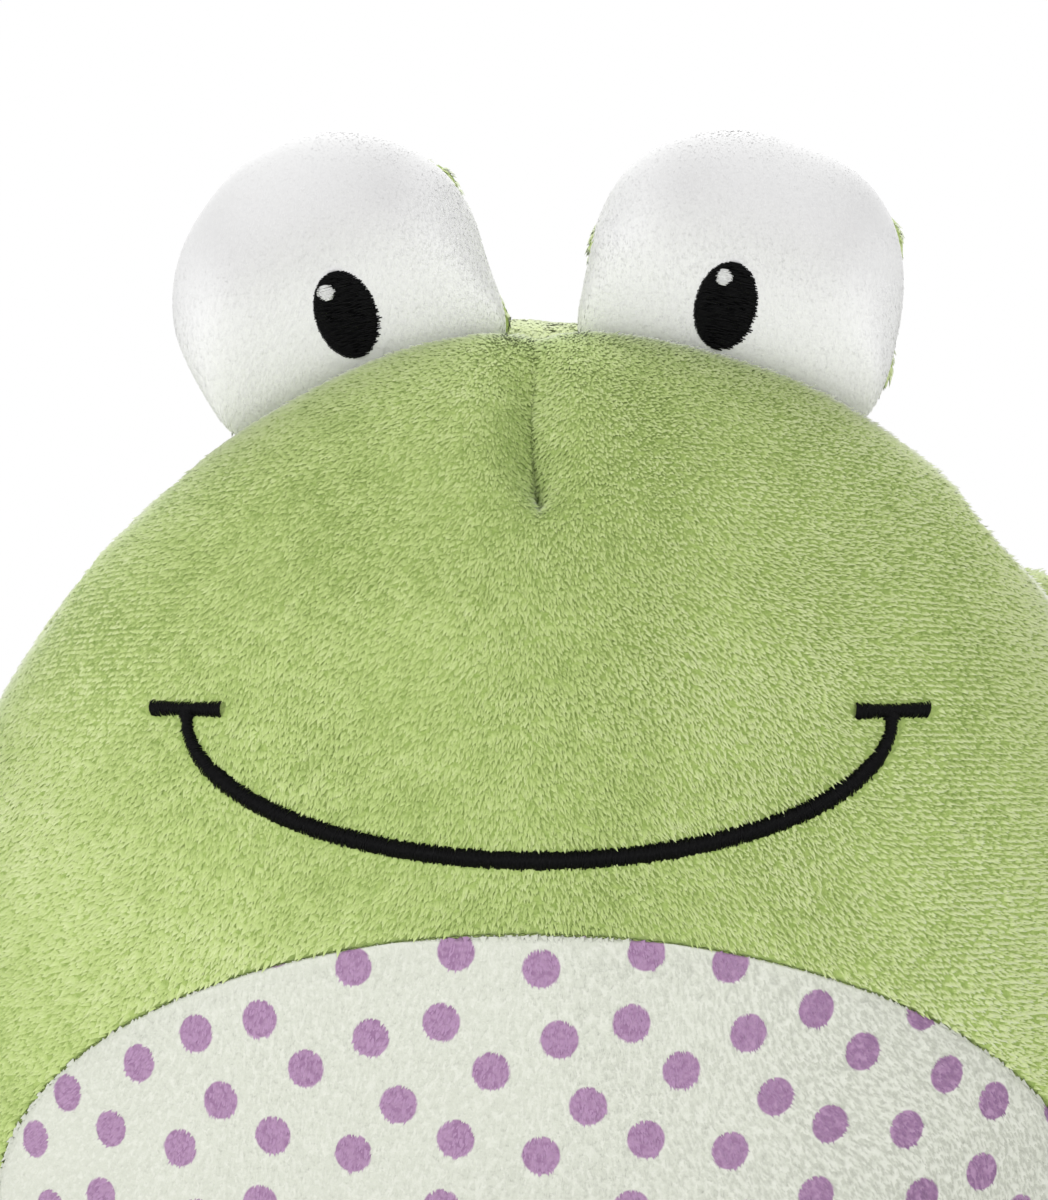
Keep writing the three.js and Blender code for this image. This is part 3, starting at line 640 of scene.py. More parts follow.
def green_pile_dress(dye):
    root, along, tone_and_painted_light, each = tuft_values(dye)
    patch, brushed = dye.noise(45 * MM, root), dye.noise(7 * MM, root)
    # Roots darker than tips is painted shade; the marked tone adds painted light and shade over regions.
    tone = along * 0.5 + each * 0.35 - 0.14 + (patch - 0.5) * 0.5 + (brushed - 0.5) * 0.5 + tone_and_painted_light
    low = tone.clipped(-0.3, 0.35).between(colour(138, 164, 80), colour(193, 213, 133))
    middle = tone.clipped(0.2, 0.9).between(low, colour(221, 233, 173))
    # The palest colour, reached only where the most light is painted, is a painted glow of light from behind.
    return {"Base Color": tone.clipped(0.9, 1.6).between(middle, colour(230, 238, 206))}


def green_backing_dress(dye):
    knit = dye.noise(1.5 * MM, place_of(dye), 3.0)
    ground = knit.clipped(0.3, 0.7).between(colour(150, 174, 92), colour(178, 199, 117))
    # The marked tone paints the cloth pale between the eyes and along the sides, as light from behind.
    return {"Base Color": attribute(dye, "tone_and_painted_light", 2).clipped(0, 0.5).between(ground, colour(222, 233, 184)),
            "Normal": dye.bump(knit, 0.6 * MM)}


def downwards(root):
    return np.array([0.0, 0.0, -1.0]) + 0 * root


def between_eyes(spot):
    """1 on top of the crown between the eyes, where the pile lies flat and is painted pale as if lit from behind, 0
    elsewhere.
    """
    return bell(spot[..., 0], 26 * MM) * (1 - ease(spot[..., 1], 6 * MM, 32 * MM)) * ease(
        spot[..., 2], 303 * MM, 318 * MM)


def back_painted_light(spot):
    """Painted light: pale between the eyes and along the sides, as the back catches light from behind."""
    side = ease(np.abs(spot[..., 0]), 112 * MM, 146 * MM) * ease(spot[..., 2], 130 * MM, 175 * MM)
    return 0.8 * between_eyes(spot) + 0.5 * side * (1 - ease(spot[..., 1], 14 * MM, 44 * MM))


def back_dip(spot):
    """How far the centre-back seam draws the cloth in; it fades out over the crown."""
    return BACK_DIP * bell(spot[..., 0], BACK_REACH) * (1 - 0.85 * ease(spot[..., 2], 280 * MM, 318 * MM))


green_pile = finish("green_plush_pile", green_pile_dress, Roughness=0.95, Sheen_Weight=0.8,
                    Sheen_Roughness=0.4)
green_backing = finish("green_plush_backing", green_backing_dress, Roughness=1.0, Sheen_Weight=0.2)
half_way = BACK_CELLS // 2
for name, low, high, first_seed in (("left", -1.0, 0.0, PILE_SEED + 2), ("right", 0.0, 1.0, PILE_SEED)):
    # Seen from behind, columns run towards -X, so the grid is laid out with its columns reversed.
    u, v = disc_from_square(*square_grid(half_way, BACK_CELLS, (high, -1), (low, 1)))
    spread = cushion(1, np.arctan2(v, u), np.hypot(u, v), PLUSH_INSET)
    spread = drawn_in(spread, back_dip(spread))
    panel = cloth_panel(f"{name}_back_cloth", spread, green_backing)
    # The back cloth takes the same painted light as its pile.
    mark(panel.data, "tone_and_painted_light", np.tile(back_painted_light(spread).ravel(), 2))
    tie(panel, "body", "green_plush", f"{name}_back_panel", FILLED)
    parts = (("lower", spread[:half_way + 1]), ("upper", spread[half_way:]))
    for number, (part, points) in enumerate(parts):
        # Between the eyes the pile lies flat, takes painted light and has little painted shade at its roots.
        tufts = pile(f"{name}_{part}_back_pile", points, downwards, green_pile, first_seed + number,
                     tone_and_painted_light=back_painted_light, calm=lambda root: 0.92 * between_eyes(root),
                     painted_root_shade=lambda root: 1 - 0.9 * between_eyes(root), **BACK_PILE)
        tie(tufts, "body", "green_plush")

# Face panel: green plush, the upper front. Its lower edge is cut to the belly's arch, and a short
# dart is sewn in the middle of its top edge; the mouth is stitched through it.
BELLY_TOP, BELLY_HALF, BELLY_WIDEST, BELLY_DROP = 178 * MM, 139 * MM, 104 * MM, 150 * MM
FACE_COLUMNS, FACE_ROWS, FACE_END, FACE_SEED = 420, 100, 0.985, 21
DART_DIP, DART_REACH, DART_LENGTH, DART_BOW = 5 * MM, 10 * MM, 42 * MM, -3 * MM
DART_FOOT, DART_RIDGE = WIDEST_HEIGHT + CROWN_RISE - DART_LENGTH, 1.2 * MM
CREASE_DIP, CREASE_REACH = 10 * MM, 3.0 * MM
ARCH_DIP, ARCH_REACH, MOUTH_DIP, MOUTH_REACH = 0.9 * MM, 3.0 * MM, 0.8 * MM, 4 * MM
MOUTH_HEIGHT, MOUTH_HALF, MOUTH_DROP, MOUTH_LINE = 229.9 * MM, 88 * MM, 33.9 * MM, 4.2 * MM
BAR_HEIGHT, BAR_LONG, BAR_LINE = 232 * MM, 18 * MM, 3.6 * MM
FLAT_SAMPLES, FLAT_STEP, FLAT_END = 24, 0.5 * MM, 0.985


def front_share(x, z):
    rise = np.where(z > WIDEST_HEIGHT, CROWN_RISE, BASE_DROP)
    return np.hypot(x / HALF_WIDTH, (z - WIDEST_HEIGHT) / rise)


def front_place(x, z):
    """Turn and share on the cushion's front for a place in the front view."""
    rise = np.where(z > WIDEST_HEIGHT, CROWN_RISE, BASE_DROP)
    turn = np.arctan2((z - WIDEST_HEIGHT) / rise, x / HALF_WIDTH)
    out = np.minimum(front_share(x, z), 1)
    depth, seam = -HALF_DEPTH * (1 - out**FULLNESS) ** (1 / FULLNESS), rim_seam(turn)
    return turn, np.arccos(np.clip((depth - seam) / (-HALF_DEPTH - seam), 0, 1)) / (math.pi / 2)


belly_angle = np.linspace(-math.pi, math.pi, 721)
belly_rise = np.where(np.sin(belly_angle) > 0, BELLY_TOP - BELLY_WIDEST, BELLY_DROP)
edge_turn, edge_share = front_place(BELLY_HALF * np.cos(belly_angle),
                                    BELLY_WIDEST + belly_rise * np.sin(belly_angle))
edge_order = np.argsort(edge_turn)
edge_turn, edge_share = edge_turn[edge_order], edge_share[edge_order]


def belly_edge(turn):
    """Share at which the belly's arch crosses a turn."""
    wrapped = (turn + math.pi) % (2 * math.pi) - math.pi
    return np.interp(wrapped, edge_turn, edge_share, period=2 * math.pi)


mouth_angle = np.linspace(0, math.pi, 91)
mouth_x, mouth_z = -MOUTH_HALF * np.cos(mouth_angle), MOUTH_HEIGHT - MOUTH_DROP * np.sin(mouth_angle)
mouth_x = np.concatenate([mouth_x[:1], mouth_x, mouth_x[-1:]])
mouth_z = np.concatenate([[BAR_HEIGHT], mouth_z, [BAR_HEIGHT]])


def from_mouth(x, z):
    """Distance in the front view from the edge of the mouth's stitching."""
    near = np.full(np.shape(x), 1.0)
    for mouth_spot_x, mouth_spot_z in zip(mouth_x, mouth_z):
        near = np.minimum(near, np.hypot(x - mouth_spot_x, z - mouth_spot_z) - MOUTH_LINE / 2)
    for middle in (-MOUTH_HALF, MOUTH_HALF):
        aside = np.maximum(np.abs(x - middle) - BAR_LONG / 2, 0)
        near = np.minimum(near, np.hypot(aside, z - BAR_HEIGHT) - BAR_LINE / 2)
    return near


def dart_bend(z):
    """Sideways place of the dart's seam, which bows to the left between its foot and the rim."""
    return DART_BOW * np.sin(0.8 * math.pi * np.clip((z - DART_FOOT) / DART_LENGTH, 0, 1))


def front_cloth(turn, share, inset):
    """The front of the cushion with its dart, the belly's arch and the mouth drawn in."""
    spot = cushion(-1, turn, share, inset)
    over_foot, aside = spot[..., 2] - DART_FOOT, spot[..., 0] - dart_bend(spot[..., 2])
    dip = DART_DIP * bell(aside, DART_REACH) - DART_RIDGE * bell(aside - DART_REACH, 0.6 * DART_REACH)
    dip = dip * ease(over_foot, -16 * MM, 14 * MM)
    pinch = 0.4 + 0.6 * bell(over_foot - 5 * MM, 13 * MM)
    crease = CREASE_DIP * np.exp(-np.abs(aside) / CREASE_REACH)
    dip = dip + crease * ease(over_foot, -9 * MM, 6 * MM) * pinch
    dip = dip * (1 - 0.7 * ease(over_foot, 26 * MM, 40 * MM))
    dip = dip + ARCH_DIP * bell((share - belly_edge(turn)) * HALF_WIDTH, ARCH_REACH)
    dip = dip + MOUTH_DIP * bell(np.maximum(from_mouth(spot[..., 0], spot[..., 2]), 0), MOUTH_REACH)
    return drawn_in(spot, dip)


def on_front(x, z, inset):
    return front_cloth(*front_place(x, z), inset)


def face_kept(root):
    """1 where the face's pile stands, 0 where the mouth is stitched down and over the belly."""
    rise = np.where(root[:, 2] > BELLY_WIDEST, BELLY_TOP - BELLY_WIDEST, BELLY_DROP)
    over_arch = (np.hypot(root[:, 0] / BELLY_HALF, (root[:, 2] - BELLY_WIDEST) / rise) - 1) * rise
    off_mouth = ease(from_mouth(root[:, 0], root[:, 2]), -0.3 * MM, 0.2 * MM)
    return off_mouth * ease(over_arch, -0.6 * MM, 0.6 * MM)


def face_lay(root):
    return np.stack([root[:, 0] / HALF_WIDTH * 1.1, 0 * root[:, 0], -1 + 0 * root[:, 0]], 1)


def cheek_lay(root):
    """As on the whole front, but outwards along the knitted rows on the right cheek."""
    lay = face_lay(root)
    lay[:, 0] += 2.6 * ease(root[:, 0], 66 * MM, 122 * MM)
    return lay


def flat_lengths(root):
    """Lengths along the front's skin, sideways from the middle and upwards from the widest level."""
    flat = root.copy()
    share = (np.arange(FLAT_SAMPLES) + 0.5) / FLAT_SAMPLES
    fall = lambda out: HALF_DEPTH * (1 - np.minimum(out, FLAT_END) ** FULLNESS) ** (1 / FULLNESS)
    for axis, start in ((0, 0.0), (2, WIDEST_HEIGHT)):
        run = (root[:, axis] - start)[:, None] * share + start
        still = root[:, 2 - axis][:, None] + 0 * run
        x, z = (run, still) if axis == 0 else (still, run)
        next_x, next_z = (x + FLAT_STEP, z) if axis == 0 else (x, z + FLAT_STEP)
        slope = (fall(front_share(next_x, next_z)) - fall(front_share(x, z))) / FLAT_STEP
        flat[:, axis] = start + (root[:, axis] - start) * np.sqrt(1 + slope**2).mean(1)
    return flat


def face_rows(root):
    """The knitted rows of the backing part the pile at the sides and over the forehead."""
    x, z = root[:, 0], root[:, 2]
    phase = flat_lengths(root)[:, 2] / ROW_PITCH * 2 * math.pi + 0.8 * swirl(root, 12 * MM, 5)
    left = 0.95 * bell(x + 110 * MM, 28 * MM) * bell(z - 248 * MM, 24 * MM)
    strong = np.maximum(np.maximum(ease(x, 60 * MM, 115 * MM), left), 0.8 * ease(z, 262 * MM, 292 * MM))
    strong = strong * ease(-root[:, 1], 12 * MM, 36 * MM)
    strength = (strong * (0.65 + 0.45 * swirl(root, 22 * MM, 9))).clip(0, 0.9)
    return phase, strength, downwards(root)


def face_calm(root):
    """How flat the pile lies: flattest on the left cheek and the crown, standing up on the right."""
    x, z = root[:, 0], root[:, 2]
    upright = 0.3 * ease(x, 20 * MM, 90 * MM) * (1 - ease(x, 90 * MM, 125 * MM))
    side = 0.55 * (1 - ease(x, -110 * MM, 70 * MM)) - upright
    return np.maximum(side, 0.35 * ease(z, 310 * MM, 322 * MM))


def face_tone_and_painted_light(root):
    """Tone with painted light and shade: painted light on the right against the shade of its standing pile,
    paler below the mouth, painted rim light along the sides, painted shade left of the dart and over the
    upper middle, a darker patch on the left cheek, and tone that wanders at random.
    """
    x, z = root[:, 0], root[:, 2]
    beside = bell(x - dart_bend(z) + 4 * MM, 5 * MM) * bell(z - DART_FOOT - 12 * MM, 14 * MM)
    dim = 0.12 * bell(x + 105 * MM, 40 * MM) * bell(z - 252 * MM, 22 * MM)
    dim = dim + 0.06 * bell(x, 35 * MM) * ease(z, 240 * MM, 262 * MM)
    pale = 0.25 * ease(x, -20 * MM, 70 * MM) + 0.08 * ease(x, 20 * MM, 90 * MM)
    pale = pale + 0.06 * (1 - ease(z, 190 * MM, 225 * MM)) * ease(x, -60 * MM, 0)
    pale = pale + 0.3 * (1 - ease(-root[:, 1], 8 * MM, 36 * MM)) * ease(np.abs(x), 70 * MM, 115 * MM)
    return pale + 0.16 * swirl(root, 26 * MM, 2) - 0.3 * beside - dim - 0.05


def face_painted_root_shade(root):
    """How much darker the pile's roots are painted than its tips, as painted shade: most on the right, where it stands
    open.
    """
    return 1 + 1.4 * ease(root[:, 0], 0, 90 * MM)


def halves_of(grid):
    middle = grid.shape[1] // 2
    return enumerate((("left", grid[:, :middle + 1]), ("right", grid[:, middle:])))


turn_line = np.linspace(-math.pi / 2, 3 * math.pi / 2, 2001)
open_turns = turn_line[belly_edge(turn_line) < FACE_END]
span = np.linspace(1, -1, FACE_COLUMNS + 1)
closer = 0.3 * span + 0.7 * span**3
column, row = np.meshgrid(math.pi / 2 + closer * (open_turns.max() - math.pi / 2),
                          np.linspace(0, 1, FACE_ROWS + 1))
low_edge = belly_edge(column)
spread = front_cloth(column, low_edge + (1 - low_edge) * row, PLUSH_INSET)
face_cloth = cloth_panel("face_cloth", spread, green_backing)
tie(face_cloth, "body", "green_plush", "face_panel", FILLED)
for number, (name, points) in halves_of(spread):
    tufts = pile(f"{name}_face_pile", points, cheek_lay, green_pile, FACE_SEED + number, face_kept,
                 rows=face_rows, tone_and_painted_light=face_tone_and_painted_light, calm=face_calm, painted_root_shade=face_painted_root_shade)
    tie(tufts, "body", "green_plush")

# Belly panel: pale plush printed with mauve dots, six to a repeat. It is cut to an arch and sewn into
# the face along its top, and into the rim seam below.
BELLY_CELLS, BELLY_SEED = 140, 33
PRINT_WIDE, PRINT_TALL, DOT_RADIUS, DOT_EDGE = 47.0 * MM, 46.1 * MM, 4.7 * MM, 0.3 * MM
PRINT_X, PRINT_Z, PRINT_PULL, PRINT_SLANT = -19.4 * MM, 127.2 * MM, 9 * MM, 10 * MM
DOTS = ((0, 0), (-25.9, -4.0), (-3.6, 28.8), (-21.3, 24.7), (8.8, 16.8), (-14.3, 8.3))
BELLY_PILE = {"long": 1.8 * MM, "wide": 0.9 * MM, "lift": 0.2, "step": 1.0 * MM, "bow": 0.15,
              "ridged": 0.3}


def print_place(root):
    """Place on the flat printed cloth, which was sewn in pulled up a little at the right."""
    flat, x = flat_lengths(root), root[:, 0]
    flat[:, 0] += PRINT_PULL * (x / (130 * MM)) ** 3
    flat[:, 2] -= PRINT_SLANT * ease(x, 20 * MM, 150 * MM)
    return flat


def dotted(dye, ground, dot):
    """The print: each tuft, and the cloth under it, takes the colour of its place on the flat cloth."""
    place = attribute(dye, "print_place", 1)
    x, z = (dye.node("SeparateXYZ", None, {0: place}, part) for part in (0, 2))

    def from_dot(along, start, repeat):
        return dye.node("Math", {"operation": "WRAP"}, {0: along - start, 1: repeat / 2, 2: -repeat / 2})

    shortest = None
    for dot_x, dot_z in DOTS:
        aside = from_dot(x, PRINT_X + dot_x * MM, PRINT_WIDE)
        above = from_dot(z, PRINT_Z + dot_z * MM, PRINT_TALL)
        away = (aside * aside + above * above) ** 0.5
        shortest = away if shortest is None else dye.sum("MINIMUM", shortest, away)
    return shortest.clipped(DOT_RADIUS + DOT_EDGE, DOT_RADIUS - DOT_EDGE).between(ground, dot)


def dotted_pile_dress(dye):
    root, along, tone_and_painted_light, each = tuft_values(dye)
    # Roots darker than tips is painted shade; the marked tone paints shade towards the right.
    tone = (along * 0.4 + each * 0.3 + dye.noise(20 * MM, root) * 0.3 + tone_and_painted_light).clipped(-0.8, 1.0)
    return {"Base Color": dotted(dye, tone.between(colour(195, 198, 184), colour(219, 222, 209)),
                                 tone.between(colour(128, 90, 132), colour(186, 150, 186)))}


def dotted_backing_dress(dye):
    knit = dye.noise(1.5 * MM, place_of(dye), 3.0)
    tone = knit.clipped(0.3, 0.7)
    return {"Base Color": dotted(dye, tone.between(colour(211, 214, 201), colour(222, 224, 213)),
                                 tone.between(colour(150, 114, 150), colour(176, 142, 175))),
            "Normal": dye.bump(knit, 0.4 * MM)}


# Painted shade: the belly's pile darker towards the right.
def belly_painted_shade(root):
    return -0.6 * ease(root[:, 0], 10 * MM, 110 * MM)


def belly_calm(root):
    return 0.6 * (1 - ease(root[:, 0], -20 * MM, 90 * MM))


dotted_pile = finish("dotted_plush_pile", dotted_pile_dress, Roughness=0.95, Sheen_Weight=0.25,
                     Sheen_Roughness=0.5)
dotted_backing = finish("dotted_plush_backing", dotted_backing_dress, Roughness=1.0, Sheen_Weight=0.2)
turn, share = disc_points(BELLY_CELLS)
spread = front_cloth(turn, share * np.minimum(belly_edge(turn), 1), PLUSH_INSET)
belly_cloth = cloth_panel("belly_cloth", spread, dotted_backing)
mark(belly_cloth.data, "print_place", np.tile(print_place(spread.reshape(-1, 3)), (2, 1)))
tie(belly_cloth, "body", "dotted_plush", "belly_panel", FILLED)
for number, (name, points) in halves_of(spread):
    tufts = pile(f"{name}_belly_pile", points, face_lay, dotted_pile, BELLY_SEED + number,
                 printed=print_place, tone_and_painted_light=belly_painted_shade, calm=belly_calm, **BELLY_PILE)
    tie(tufts, "body", "dotted_plush")

# Seam threads: twisted polyester sewing thread. The panels are joined by lockstitch, one short stitch
# after another in the bottom of each seam, and the filling gap is closed by hand with a zigzag.
THREAD, STITCH_LONG, STITCH_GAP, STITCH_ARCH = 0.8 * MM, 2.8 * MM, 0.5 * MM, 0.3 * MM
PLY_SCALE, PLY_WOBBLE, PLY_DEEP = 420.0, 1.5, 0.1 * MM
SEAM_INSET, SEAM_END = 3.4 * MM, 1 * MM
CLOSING_TOP, CLOSING_STITCH, CLOSING_SWING, CLOSING_COUNT = 115 * MM, 8 * MM, 3 * MM, 10
CLOSING_ARCH, CLOSING_INSET, CLOSING_RINGS = 1.2 * MM, 0.8 * MM, 9


def strands(name, starts, ends, out, thick, arch, finish, rings=5):
    """Stitches side by side: each is one closed thread from start to end, arched over the cloth."""
    share = np.linspace(0, 1, rings)
    along = unit(ends - starts)
    aside = unit(np.cross(out, along))
    up = np.cross(along, aside)
    run = starts[:, None] * (1 - share)[:, None] + ends[:, None] * share[:, None]
    bow = np.broadcast_to(arch * np.sin(share * math.pi) ** 0.7, run.shape[:2])
    run = run + out[:, None] * bow[..., None]
    round_ = thick / 2 * (0.6 + 0.4 * np.sin(share * math.pi))
    spokes = [(1, 0), (0, 1), (-1, 0), (0, -1)]
    ring = np.stack([run + round_[:, None] * (aside[:, None] * c + up[:, None] * d) for c, d in spokes], 2)
    index = np.arange(rings * 4).reshape(rings, 4)
    beside = np.roll(index, -1, 1)
    wall = np.stack([index[:-1], beside[:-1], beside[1:], index[1:]], -1).reshape(-1, 4)
    shape = np.concatenate([wall[:, ::-1], index[:1], index[-1:, ::-1]])
    faces = (np.arange(len(starts))[:, None, None] * rings * 4 + shape).reshape(-1, 4)
    return new_piece(name, ring, faces, finish)


def even_steps(path, step):
    """Places a step apart along a path of points."""
    run = np.insert(np.cumsum(np.linalg.norm(np.diff(path, axis=0), axis=1)), 0, 0)
    places = np.linspace(0, run[-1], max(2, int(run[-1] / step) + 1))
    return np.stack([np.interp(places, run, path[:, k]) for k in range(path.shape[1])], 1)


def seam_row(name, path, finish, centre):
    """Lockstitch along a path; the stitches face away from the centre."""
    stops = even_steps(path, STITCH_LONG)
    along = unit(np.diff(stops, axis=0)) * STITCH_GAP / 2
    out = unit((stops[:-1] + stops[1:]) / 2 - centre)
    return strands(name, stops[:-1] + along, stops[1:] - along, out, THREAD, STITCH_ARCH, finish)


def thread_dress(dark, light):
    def dress(dye):
        ply = dye.node("TexWave", {"wave_type": "BANDS", "bands_direction": "DIAGONAL"},
                       {"Vector": place_of(dye), "Scale": PLY_SCALE, "Distortion": PLY_WOBBLE}, 1)
        return {"Base Color": ply.between(dark, light), "Normal": dye.bump(ply, PLY_DEEP)}
    return dress


green_thread = finish("green_sewing_thread", thread_dress(colour(104, 120, 60), colour(140, 156, 90)),
                      Roughness=0.6)
core = np.array([0, 0, WIDEST_HEIGHT])
around = np.linspace(-math.pi / 2, 3 * math.pi / 2, 721)
rim_path = cushion(-1, around, np.ones_like(around), SEAM_INSET)
arch_turn = np.linspace(open_turns.max(), open_turns.min(), 721)
arch_path = front_cloth(arch_turn, belly_edge(arch_turn), SEAM_INSET)
dart_z = np.linspace(DART_FOOT + SEAM_END, DART_FOOT + DART_LENGTH - SEAM_END, 60)
dart_path = on_front(dart_bend(dart_z), dart_z, SEAM_INSET)
back_share = np.linspace(0.96, -0.15, 120)
back_path = cushion(1, np.where(back_share > 0, math.pi / 2, -math.pi / 2), np.abs(back_share), SEAM_INSET)
back_path = drawn_in(back_path, back_dip(back_path))
back_path = back_path[back_path[:, 2] > CLOSING_TOP + 3 * MM]
for name, path in (("rim", rim_path), ("belly", arch_path), ("dart", dart_path), ("back", back_path)):
    stitches = seam_row(f"{name}_seam_stitches", path, green_thread, core)
    tie(stitches, "body", "green_thread", f"{name}_seam_thread")

closing_number = np.arange(CLOSING_COUNT + 1)
closing_place = front_place(CLOSING_SWING * np.where(closing_number % 2, 1, -1),
                            CLOSING_TOP - CLOSING_STITCH * closing_number)
closing_spots = cushion(1, *closing_place, CLOSING_INSET)
closing_spots = drawn_in(closing_spots, back_dip(closing_spots))
closing = strands("closing_stitches", closing_spots[:-1], closing_spots[1:],
                  np.tile([0.0, 1.0, 0.0], (CLOSING_COUNT, 1)), THREAD, CLOSING_ARCH, green_thread,
                  CLOSING_RINGS)
tie(closing, "body", "green_thread", "closing_stitch")

# Mouth: black rayon embroidery in satin stitch, threads laid side by side across the line and pulled
# into the pile, with a bar across each end. A fleece stabiliser stays behind it, inside the cushion.
SATIN_THREAD, SATIN_PITCH, SATIN_INSET, SATIN_ARCH = 0.5 * MM, 0.3 * MM, 2.2 * MM, 1.5 * MM
SATIN_RAGGED, SATIN_SLANT, MOUTH_SEED, BAR_SEED = 0.09, 0.15 * MM, 41, 43


def front_normal(x, z):
    step = 0.5 * MM
    across = on_front(x + step, z, PLUSH_INSET) - on_front(x - step, z, PLUSH_INSET)
    up = on_front(x, z + step, PLUSH_INSET) - on_front(x, z - step, PLUSH_INSET)
    return unit(np.cross(across, up))


def satin_line(name, path, width, finish, seed):
    """Satin stitch along a front-view path: one thread after another across its width."""
    chance = np.random.default_rng(seed)
    spots = even_steps(path, SATIN_PITCH)
    ahead = unit(np.gradient(spots, axis=0))
    across = np.stack([-ahead[:, 1], ahead[:, 0]], 1)
    wide = width(np.linspace(0, 1, len(spots)))[:, None] / 2
    jag = 1 + SATIN_RAGGED * chance.standard_normal((2, len(spots), 1))
    slant = ahead * SATIN_SLANT
    first, last = spots + across * wide * jag[0] + slant, spots - across * wide * jag[1] - slant
    out = front_normal(spots[:, 0], spots[:, 1])
    return strands(name, on_front(first[:, 0], first[:, 1], SATIN_INSET),
                   on_front(last[:, 0], last[:, 1], SATIN_INSET), out, SATIN_THREAD, SATIN_ARCH, finish)


def satin_dress(dark, light):
    def dress(dye):
        place = place_of(dye)
        fleck, ply = dye.noise(0.9 * MM, place, 3.0), dye.noise(0.25 * MM, place)
        return {"Base Color": fleck.clipped(0.45, 0.8).between(dark, light),
                "Roughness": ply * 0.3 + 0.4, "Normal": dye.bump(ply, 0.06 * MM)}
    return dress


def mouth_width(share):
    """Full along the smile, narrow towards its ends and flared where it meets the bars."""
    end = np.minimum(share, 1 - share)
    return MOUTH_LINE * (0.68 + 0.38 * ease(end, 0.0, 0.12) + 0.5 * (1 - ease(end, 0.0, 0.02)))


def bar_width(share):
    return BAR_LINE * (0.9 + 0.25 * np.abs(2 * share - 1) ** 2)


black_satin = finish("black_satin_thread", satin_dress(colour(6, 6, 7), colour(17, 17, 18)),
                     Specular_IOR_Level=0.1)
mouth = satin_line("mouth_satin", np.stack([mouth_x, mouth_z], 1), mouth_width, black_satin, MOUTH_SEED)
tie(mouth, "body", "black_satin_stitch", "mouth_line")
for name, middle in (("left", -MOUTH_HALF), ("right", MOUTH_HALF)):
    bar_x = np.linspace(middle - BAR_LONG / 2, middle + BAR_LONG / 2, 20)
    bar = satin_line(f"{name}_mouth_bar_satin", np.stack([bar_x, BAR_HEIGHT + 0 * bar_x], 1), bar_width,
                     black_satin, BAR_SEED)
    tie(bar, "body", "black_satin_stitch", f"{name}_mouth_bar")


def fleece_dress(dye):
    fibres = dye.noise(0.8 * MM, place_of(dye), 5.0)
    return {"Base Color": fibres.clipped(0.3, 0.7).between(colour(186, 186, 180), colour(214, 214, 208)),
            "Normal": dye.bump(fibres, 0.2 * MM)}


stabiliser = finish("fleece_stabiliser", fleece_dress, Roughness=0.95)
for name in ("mouth_backing", "left_pupil_backing", "right_pupil_backing"):
    frame["nodes"][name].data.materials.clear()
    frame["nodes"][name].data.materials.append(stabiliser)

# Eye lobes: white plush in front and green plush behind, sewn round the edge, stuffed with the same
# wadding and caught in the rim seam along their base, so each can flop forwards and back. The pupil and
# its glint are filled satin stitch.
EYE_HALF, EYE_HEIGHT, EYE_WIDEST, EYE_HALF_DEPTH = 41 * MM, 64 * MM, 26 * MM, 19 * MM
EYE_SQUARENESS, EYE_NECK, EYE_SPREAD, EYE_SEAT, EYE_ROOT = 5, 2 * MM, 0.42, 0.7 * MM, 5 * MM
EYE_CELLS, EYE_TUCK, EYE_THICK, EYE_FILLED = 72, 0.3 * MM, 0.4 * MM, 0.8
EYE_PLUSH, EYE_BACK_PLUSH, EYE_SEAM, EYE_FILL = 0.9 * MM, 1.8 * MM, 1.7 * MM, 4.5 * MM
EDGE_BACK, PEEK, PEEK_REACH, PEEK_ROLL = 1.8 * MM, 2.5 * MM, 8, 2.8 * MM
BEND_FOOT, BEND_TOP = -4 * MM, 5 * MM
PUPIL_HALF, PUPIL_TALL, PUPIL_RISE, PUPIL_TILT = 7.6 * MM, 11.3 * MM, 15.8 * MM, 5
PUPIL_PITCH, PUPIL_STITCH, PUPIL_LAP, PUPIL_ARCH = 0.36 * MM, 6 * MM, 0.3 * MM, 0.9 * MM
GLINT_RADIUS, GLINT_ASIDE, GLINT_RISE, GLINT_OUT, GLINT_ARCH = (
    1.95 * MM, -2.7 * MM, 6.9 * MM, 1.2 * MM, 0.6 * MM)
WHITE_SEED, EYE_BACK_SEED, PUPIL_SEED, GLINT_SEED = 51, 61, 71, 81
WHITE_PILE = {"long": 1.6 * MM, "wide": 1.0 * MM, "lift": 0.09, "step": 0.75 * MM, "bow": 0.02,
              "ridged": 0.1}
EYE_BACK_PILE = {"step": 0.95 * MM}
# For each lobe: the place of its base, its lean in degrees, how far in its pupil is stitched, the angles
# where its green back peeks out, and the bulges of its edge as angle, millimetres and width in degrees.
LOBES = (
    ("left", -49 * MM, 3, 1.7 * MM, (23, -27),
     ((25, 3.2, 24), (63, 1.6, 25), (128, -1.6, 22), (181, 1.8, 20))),
    ("right", 44 * MM, 2, 2.6 * MM, (182, 34, -12),
     ((155, 3.0, 24), (88, -2.0, 22), (-18, 2.5, 20), (207, -1.2, 15))))


def near_angle(angle, degrees, reach):
    return bell(np.angle(np.exp(1j * (angle - math.radians(degrees)))), math.radians(reach))


def eye_reach(seat, angle, inset):
    """Distance from a lobe's middle to its edge: a dome above its widest level, squarer below, pulled
    out and in a little by the filling."""
    lift, n = np.sin(angle), np.where(np.sin(angle) > 0, 2, EYE_SQUARENESS)
    rise = np.where(lift > 0, EYE_HEIGHT - EYE_WIDEST - inset, EYE_WIDEST + EYE_ROOT)
    reach = (np.abs(np.cos(angle) / (EYE_HALF - inset)) ** n + np.abs(lift / rise) ** n) ** (-1 / n)
    return reach + sum(far * MM * near_angle(angle, at, width) for at, far, width in seat["bulges"])


